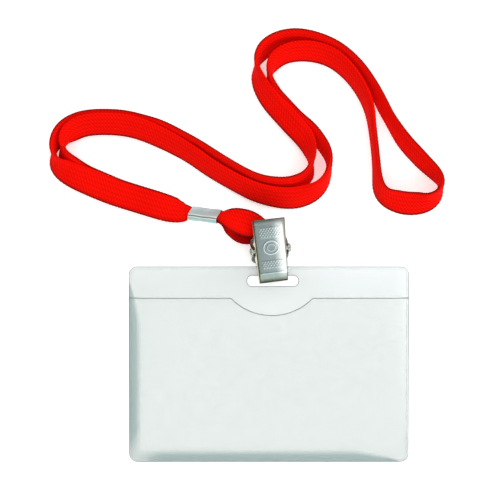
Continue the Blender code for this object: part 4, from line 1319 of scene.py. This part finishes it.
def rear_lever():
    """A flat blank with two ear tabs, a window and pin holes, folded and bent to shape."""
    bend = 0.45
    edge = 6.24 - bend
    up = edge + bend * pi / 2

    def lift(v):
        return eased(REAR_RISE, v, 0.45)

    def tab(v, w):
        return up + (w - float(lift(v)) - bend)

    half = [(5.0, 10.22 - 0.9), (5.05, 7.0), (5.1, 4.9), (5.25, 4.5), (edge + 0.1, 4.05)]
    half += [(up - 0.1, 3.35), (up + 0.25, 3.0)]
    arc = []
    for k in range(25):
        a = pi * k / 24
        vv, ww = 1.62 * cos(a), 1.62 * sin(a)
        arc.append((tab(vv, ww), vv))
    half += arc
    half += [(up + 0.25, -2.5), (up - 0.1, -2.9), (edge + 0.1, -3.6), (5.05, -4.05), (4.9, -4.6)]
    half += [(4.8, -7.5), (4.7, -10.1)]
    # rounded corners at the tail and at the jaw
    tail = [(5.0 - 0.9 + 0.9 * cos(a), 10.22 - 0.9 + 0.9 * sin(a)) for a in np.linspace(pi / 2, 0, 7)[:-1]]
    jaw = [(4.7 - 0.6 + 0.6 * cos(a), -10.1 - 0.6 * sin(a)) for a in np.linspace(0, pi / 2, 6)[1:]]
    right = tail + half + jaw
    outline = right + [(-a, v) for a, v in reversed(right)]
    window = round_rect(-3.6, 3.6, 2.9, 9.35, 0.8, 6)
    holes = []
    for s in (-1, 1):
        holes.append(
            [(s * tab(0, 0) + 0.88 * cos(a), 0.88 * sin(a)) for a in np.linspace(0, 2 * pi, 33)[:-1]]
        )
    bm = blank("rear_blank", [outline, window] + holes, LEVER_T, 0.10)
    slice_up(bm, 1, np.r_[np.arange(-10.5, -6.4, 0.2), np.arange(-6.0, 10.2, 0.6)])
    folds = edge + bend * np.linspace(0, pi / 2, 9)
    slice_up(bm, 0, np.r_[-folds, folds, np.linspace(-5, 5, 13)])
    for vert in bm.verts:
        a, v, n = vert.co
        sign = 1 if a > 0 else -1
        a = abs(a)
        r = float(lift(v))
        if a <= edge:
            slope = float(lift(v + 0.05) - lift(v - 0.05)) / 0.1
            k = sqrt(1 + slope * slope)
            vert.co = (sign * a, v - n * slope / k, r + n / k)
        elif a <= up:
            turn = (a - edge) / bend
            vert.co = (
                sign * (edge + (bend - n) * sin(turn)), v, r + bend - (bend - n) * cos(turn)
            )
        else:
            vert.co = (sign * (edge + bend - n), v, r + bend + (a - up))
    return from_bm("rear_lever_plate", bm, clip_frame, 42)


def pin_piece():
    ear_out = 6.24 + 0.21 + 0.02
    dome = [(1.48 * sin(a), ear_out + 0.10 + 0.78 * cos(a)) for a in np.linspace(0.02, pi / 2, 14)]
    profile = dome + [(1.44, ear_out + 0.03), (1.36, ear_out)]
    profile += [(0.80, ear_out - 0.02), (0.80, -ear_out + 0.02)]
    profile += [(1.02, -ear_out), (1.10, -ear_out - 0.06), (1.10, -ear_out - 0.20)]
    profile += [(1.02, -ear_out - 0.36), (0.80, -ear_out - 0.50), (0.52, -ear_out - 0.56)]
    profile += [(0.42, -ear_out - 0.50), (0.30, -ear_out - 0.40), (0.05, -ear_out - 0.36)]
    return lathe("pin_turned", profile, clip_frame @ Matrix.Rotation(pi / 2, 4, "Y"))


def spring_piece():
    turns, length = 4.15, 4.6
    start = radians(-62)
    count = int(turns * 40)
    f = np.arange(count + 1) / count
    a = start - 2 * pi * turns * f
    coil = np.stack([-length / 2 + length * f, COIL_R * np.cos(a), COIL_R * np.sin(a)], 1)
    lead_in = coil[0] + np.array((0, 3.4, 0.75))
    a_end = start - 2 * pi * turns
    lead_out = coil[-1] + 3.3 * np.array((0, sin(a_end), -cos(a_end)))
    first = [lead_in + (coil[0] - lead_in) * g for g in np.linspace(0, 1, 12)[:-1]]
    last = [coil[-1] + (lead_out - coil[-1]) * g for g in np.linspace(0, 1, 12)[1:]]
    path = np.vstack([first, coil, last])
    for _ in range(6):
        path[1:-1] = (path[:-2] + 2 * path[1:-1] + path[2:]) / 4
    obj = tube_from("spring_wire_coil", path, WIRE_R, 14)
    obj.data.transform(clip_frame)
    return obj


def crimp_piece():
    """A sleeve rolled from a strip, with its lapped seam along the upper narrow edge."""
    def oval(width, thick, steps=28):
        r = thick / 2
        points = []
        for side, first in ((1, -90), (-1, 90)):
            for k in range(steps + 1):
                a = radians(first + 180.0 * k / steps)
                points.append((side * (width / 2 - r) + r * cos(a), r * sin(a)))
        return np.array(points)

    outer = oval(CRIMP_W, CRIMP_T)
    inner = oval(CRIMP_W - 2 * CRIMP_WALL, CRIMP_T - 2 * CRIMP_WALL)
    # flats bow out a little between the edges
    bow = 0.10 * (1 - (outer[:, 0] / (CRIMP_W / 2)) ** 2)
    outer[:, 1] += np.sign(outer[:, 1]) * bow * (np.abs(outer[:, 0]) < CRIMP_W / 2 - CRIMP_T / 2 + 0.01)
    # the seam: the strip's upper end laps over the lower one on the left edge
    angle = np.degrees(np.arctan2(outer[:, 1], -(outer[:, 0] + CRIMP_W / 2 - CRIMP_T / 2)))
    left = outer[:, 0] < -(CRIMP_W / 2 - CRIMP_T / 2)
    lap = left * 0.14 * (1 / (1 + np.exp(-(angle - 62) / 1.6)) - 0.5)
    lap = np.where(angle > 88, 0.07 * (angle <= 90.5), lap)
    groove = left * -0.24 * np.exp(-(((angle - 60) / 5.0) ** 2))
    centre = np.array((-(CRIMP_W / 2 - CRIMP_T / 2), 0.0))
    out = outer - centre
    out /= np.linalg.norm(out, axis=1)[:, None]
    outer = outer + out * (lap + groove)[:, None]
    n = len(outer)
    stations = []
    L = CRIMP_L / 2
    for s, push in ((-L, -0.13), (-L + 0.035, -0.05), (-L + 0.10, -0.01), (-L + 0.18, 0.0)):
        stations.append((s, push))
    for s in np.linspace(-L + 0.6, L - 0.6, 15):
        # a flat dent where the tool closed it
        dent = -0.10 * np.exp(-((s / 1.5) ** 2)) - 0.03 * np.cos(s * 1.1)
        stations.append((s, dent + 0.03))
    for s, push in ((L - 0.18, 0.0), (L - 0.10, -0.01), (L - 0.035, -0.05), (L, -0.13)):
        stations.append((s, push))
    rows = []
    for s, push in stations:
        ring = outer.copy()
        ring[:, 1] += np.sign(ring[:, 1]) * push
        rows.append(np.c_[ring, np.full(n, s)])
    for s, push in reversed(stations):
        ring = inner.copy()
        inward = -push if abs(s) > L - 0.2 else 0.0
        ring[:, 1] += np.sign(ring[:, 1]) * inward
        rows.append(np.c_[ring, np.full(n, s)])
    points = np.vstack(rows)
    world = (
        CRIMP_MID
        + points[:, :1] * crimp_wide * MM
        + points[:, 1:2] * crimp_out * MM
        + points[:, 2:3] * crimp_long * MM
    )
    faces = grid_faces(len(rows), n, around=True, ends=True)
    obj = mesh_from("crimp_rolled", world, faces)
    # painted shade in the seam's groove and painted highlights on the rounded edge either side of it
    seam_shade = np.exp(-(((angle - 60) / 6.0) ** 2)) * left
    seam_highlight = (np.exp(-(((angle - 82) / 9.0) ** 2)) + np.exp(-(((angle - 41) / 8.0) ** 2))) * left
    for key, row in (("seam", seam_shade), ("seam_highlight", seam_highlight)):
        mark = obj.data.attributes.new(key, "FLOAT", "POINT")
        mark.data.foreach_set("value", np.tile(row, len(rows)).astype(np.float32))
    fix = bmesh.new()
    fix.from_mesh(obj.data)
    bmesh.ops.recalc_face_normals(fix, faces=fix.faces)
    fix.to_mesh(obj.data)
    fix.free()
    return obj


def metal(name, tint, rough, stamped=False, metallic=1.0, seamed=False):
    """Bright plating: fine directional wear, faint stains, and painted reflections, highlights and shade on the
    stamped lever and along the sleeve's seam.
    """
    n = Nodes(name)
    place = n.place()
    fine = n.noise(place, 900.0, 4.0, 0.65)
    stain = n.noise(place, 140.0, 3.0, 0.6)
    stretch = n.add(
        "ShaderNodeMapping", {"Vector": place, "Scale": (2600.0, 260.0, 900.0)}
    ).outputs[0]
    brushed = n.noise(stretch, 1.0, 3.0, 0.6)
    if stamped:
        # across and along the lever, in mm
        x, y, _ = n.split(place)
        dx = n.math("MULTIPLY", n.math("SUBTRACT", x, CLIP[0]), 1000.0)
        dy = n.math("MULTIPLY", n.math("SUBTRACT", y, CLIP[1]), 1000.0)
        c, d = cos(CLIP_TURN), sin(CLIP_TURN)
        u = n.math("ADD", n.math("MULTIPLY", dx, c), n.math("MULTIPLY", dy, d))
        v = n.math("SUBTRACT", n.math("MULTIPLY", dy, c), n.math("MULTIPLY", dx, d))
        # painted reflections on the lever: darker olive along its left side, a bright painted highlight down its
        # right, and painted shade across the tail, below the crease and along the jaw's lower edge
        tint = n.mix(n.range(u, -3.4, -5.0, 0.0, 1.0, smooth=True), rgb(124, 137, 138), rgb(118, 122, 104))
        tint = n.mix(n.range(u, 1.0, 4.4, 0.0, 1.0, smooth=True), tint, rgb(206, 211, 208))
        tint = n.mix(n.range(v, 7.4, 9.4, 0.0, 0.85, smooth=True), tint, rgb(88, 91, 88))
        tint = n.mix(n.range(v, -8.0, -8.6, 0.0, 0.75, smooth=True), tint, rgb(112, 124, 114))
        tint = n.mix(n.range(v, -10.2, -10.75, 0.0, 0.95, smooth=True), tint, rgb(66, 62, 42))
        # painted shade and highlight at the bends at its two sides: a dull line, then a bright one at the left, and
        # a dark line at the right
        tint = n.mix(n.range(u, -4.2, -4.5, 0.0, 0.5, smooth=True), tint, rgb(92, 94, 72))
        tint = n.mix(n.range(u, -4.75, -4.9, 0.0, 1.0, smooth=True), tint, rgb(248, 240, 216))
        tint = n.mix(n.range(u, 5.0, 5.15, 0.0, 0.8, smooth=True), tint, rgb(118, 112, 96))
        base = n.mix(n.range(stain, 0.35, 0.75, 0.0, 0.20), tint, rgb(120, 128, 124))
    else:
        base = n.mix(n.range(stain, 0.35, 0.75, 0.0, 0.55), tint, tuple(c * 0.80 for c in tint[:3]) + (1.0,))
    if stamped:
        height = n.add("ShaderNodeAttribute", attribute_name="relief").outputs["Fac"]
        # painted highlight on the raised relief
        base = n.mix(n.range(height, 0.45, 1.0, 0.0, 0.55), base, rgb(236, 240, 240))
    if seamed:
        seam_shade = n.add("ShaderNodeAttribute", attribute_name="seam").outputs["Fac"]
        seam_highlight = n.add("ShaderNodeAttribute", attribute_name="seam_highlight").outputs["Fac"]
        # painted highlights beside the seam, painted shade in its groove
        base = n.mix(n.math("MULTIPLY", seam_highlight, 0.85, clamp=True), base, rgb(252, 248, 236))
        base = n.mix(n.math("MULTIPLY", seam_shade, 0.95, clamp=True), base, rgb(66, 62, 52))
    n.set(Base_Color=base, Metallic=metallic)
    gloss = n.math("ADD", n.range(fine, 0.3, 0.8, -0.04, 0.07), n.range(stain, 0.3, 0.8, rough, rough + 0.08))
    n.feed(n.bsdf, "Roughness", gloss)
    n.bump(n.math("ADD", n.math("MULTIPLY", brushed, 0.7), fine), 0.10, 0.00003)
    return n.mat


STEEL = rgb(172, 181, 181)
lever_f, lever_r = front_lever(), rear_lever()
pin, spring, crimp = pin_piece(), spring_piece(), crimp_piece()
lever_f.data.materials.append(metal("stamped_plating", STEEL, 0.26, True))
lever_r.data.materials.append(metal("plain_plating", STEEL, 0.24))
pin.data.materials.append(metal("pin_plating", rgb(178, 178, 166), 0.24))
spring.data.materials.append(metal("spring_steel", rgb(190, 188, 180), 0.28))
crimp.data.materials.append(metal("sleeve_plating", rgb(184, 216, 220), 0.40, metallic=0.45, seamed=True))
for obj, node, body, slot in (
    (lever_f, "clip_front_lever", "front_lever", "plated_steel"),
    (lever_r, "clip_rear_lever", "clip_base", "plated_steel"),
    (pin, "pivot_pin", "clip_base", "plated_pin"),
    (spring, "torsion_spring", "clip_base", "spring_wire"),
    (crimp, "crimp_sleeve", "clip_base", "sleeve_metal"),
):
    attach(obj, body)
    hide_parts(node)

# ------------------------------------------------------------- floor and lights
floor_mesh = bpy.data.meshes.new("table")
floor_mesh.from_pydata(
    [(-2, -2, -0.0001), (2, -2, -0.0001), (2, 2, -0.0001), (-2, 2, -0.0001)], [], [(0, 1, 2, 3)]
)
floor = bpy.data.objects.new("table", floor_mesh)
# just low enough for the leaning pocket's corner at the end of its swing
floor.location.z = -0.75 * MM
scene.collection.objects.link(floor)
pale = Nodes("pale_table")
pale.set(Base_Color=(0.93, 0.93, 0.93, 1.0), Roughness=0.9)
pale.bsdf.inputs["Specular IOR Level"].default_value = 0.1
pale.bsdf.inputs["Emission Color"].default_value = (1.0, 1.0, 1.0, 1.0)
pale.bsdf.inputs["Emission Strength"].default_value = 0.42
floor_mesh.materials.append(pale.mat)

world = bpy.data.worlds.new("studio")
scene.world = world
world.use_nodes = True
tree = world.node_tree
tree.nodes.clear()
coord = tree.nodes.new("ShaderNodeTexCoord")
split = tree.nodes.new("ShaderNodeSeparateXYZ")
tree.links.new(coord.outputs["Generated"], split.inputs[0])
ramp = tree.nodes.new("ShaderNodeMapRange")
ramp.interpolation_type = "SMOOTHSTEP"
ramp.inputs["From Min"].default_value = -0.35
ramp.inputs["From Max"].default_value = 0.45
tree.links.new(split.outputs[0], ramp.inputs["Value"])
mix = tree.nodes.new("ShaderNodeMix")
mix.data_type = "RGBA"
mix.inputs[6].default_value = (0.46, 0.48, 0.42, 1)
mix.inputs[7].default_value = (0.98, 1.0, 1.0, 1)
tree.links.new(ramp.outputs[0], mix.inputs[0])
rise = tree.nodes.new("ShaderNodeMapRange")
rise.inputs["From Min"].default_value = 0.05
rise.inputs["From Max"].default_value = 0.65
rise.inputs["To Min"].default_value = 0.72
rise.inputs["To Max"].default_value = 1.0
tree.links.new(split.outputs[2], rise.inputs["Value"])
back = tree.nodes.new("ShaderNodeBackground")
tree.links.new(mix.outputs[2], back.inputs["Color"])
level_up = tree.nodes.new("ShaderNodeMath")
level_up.operation = "MULTIPLY"
level_up.inputs[1].default_value = 0.85
tree.links.new(rise.outputs[0], level_up.inputs[0])
tree.links.new(level_up.outputs[0], back.inputs["Strength"])
out = tree.nodes.new("ShaderNodeOutputWorld")
tree.links.new(back.outputs[0], out.inputs["Surface"])


def softbox(name, place, target, size, power):
    data = bpy.data.lights.new(name, "AREA")
    data.shape = "RECTANGLE"
    data.size, data.size_y = size
    data.energy = power
    lamp = bpy.data.objects.new(name, data)
    lamp.location = place
    lamp.rotation_euler = (Vector(target) - Vector(place)).to_track_quat("-Z", "Y").to_euler()
    scene.collection.objects.link(lamp)
    return lamp


softbox("key_box", (0.0, 0.75, 1.0), (0, 0, 0), (2.4, 1.6), 12.5)
softbox("fill_box", (0.35, -0.95, 0.75), (0, 0, 0), (1.6, 1.0), 9.0)

scene.view_settings.view_transform = "Standard"
scene.view_settings.look = "None"
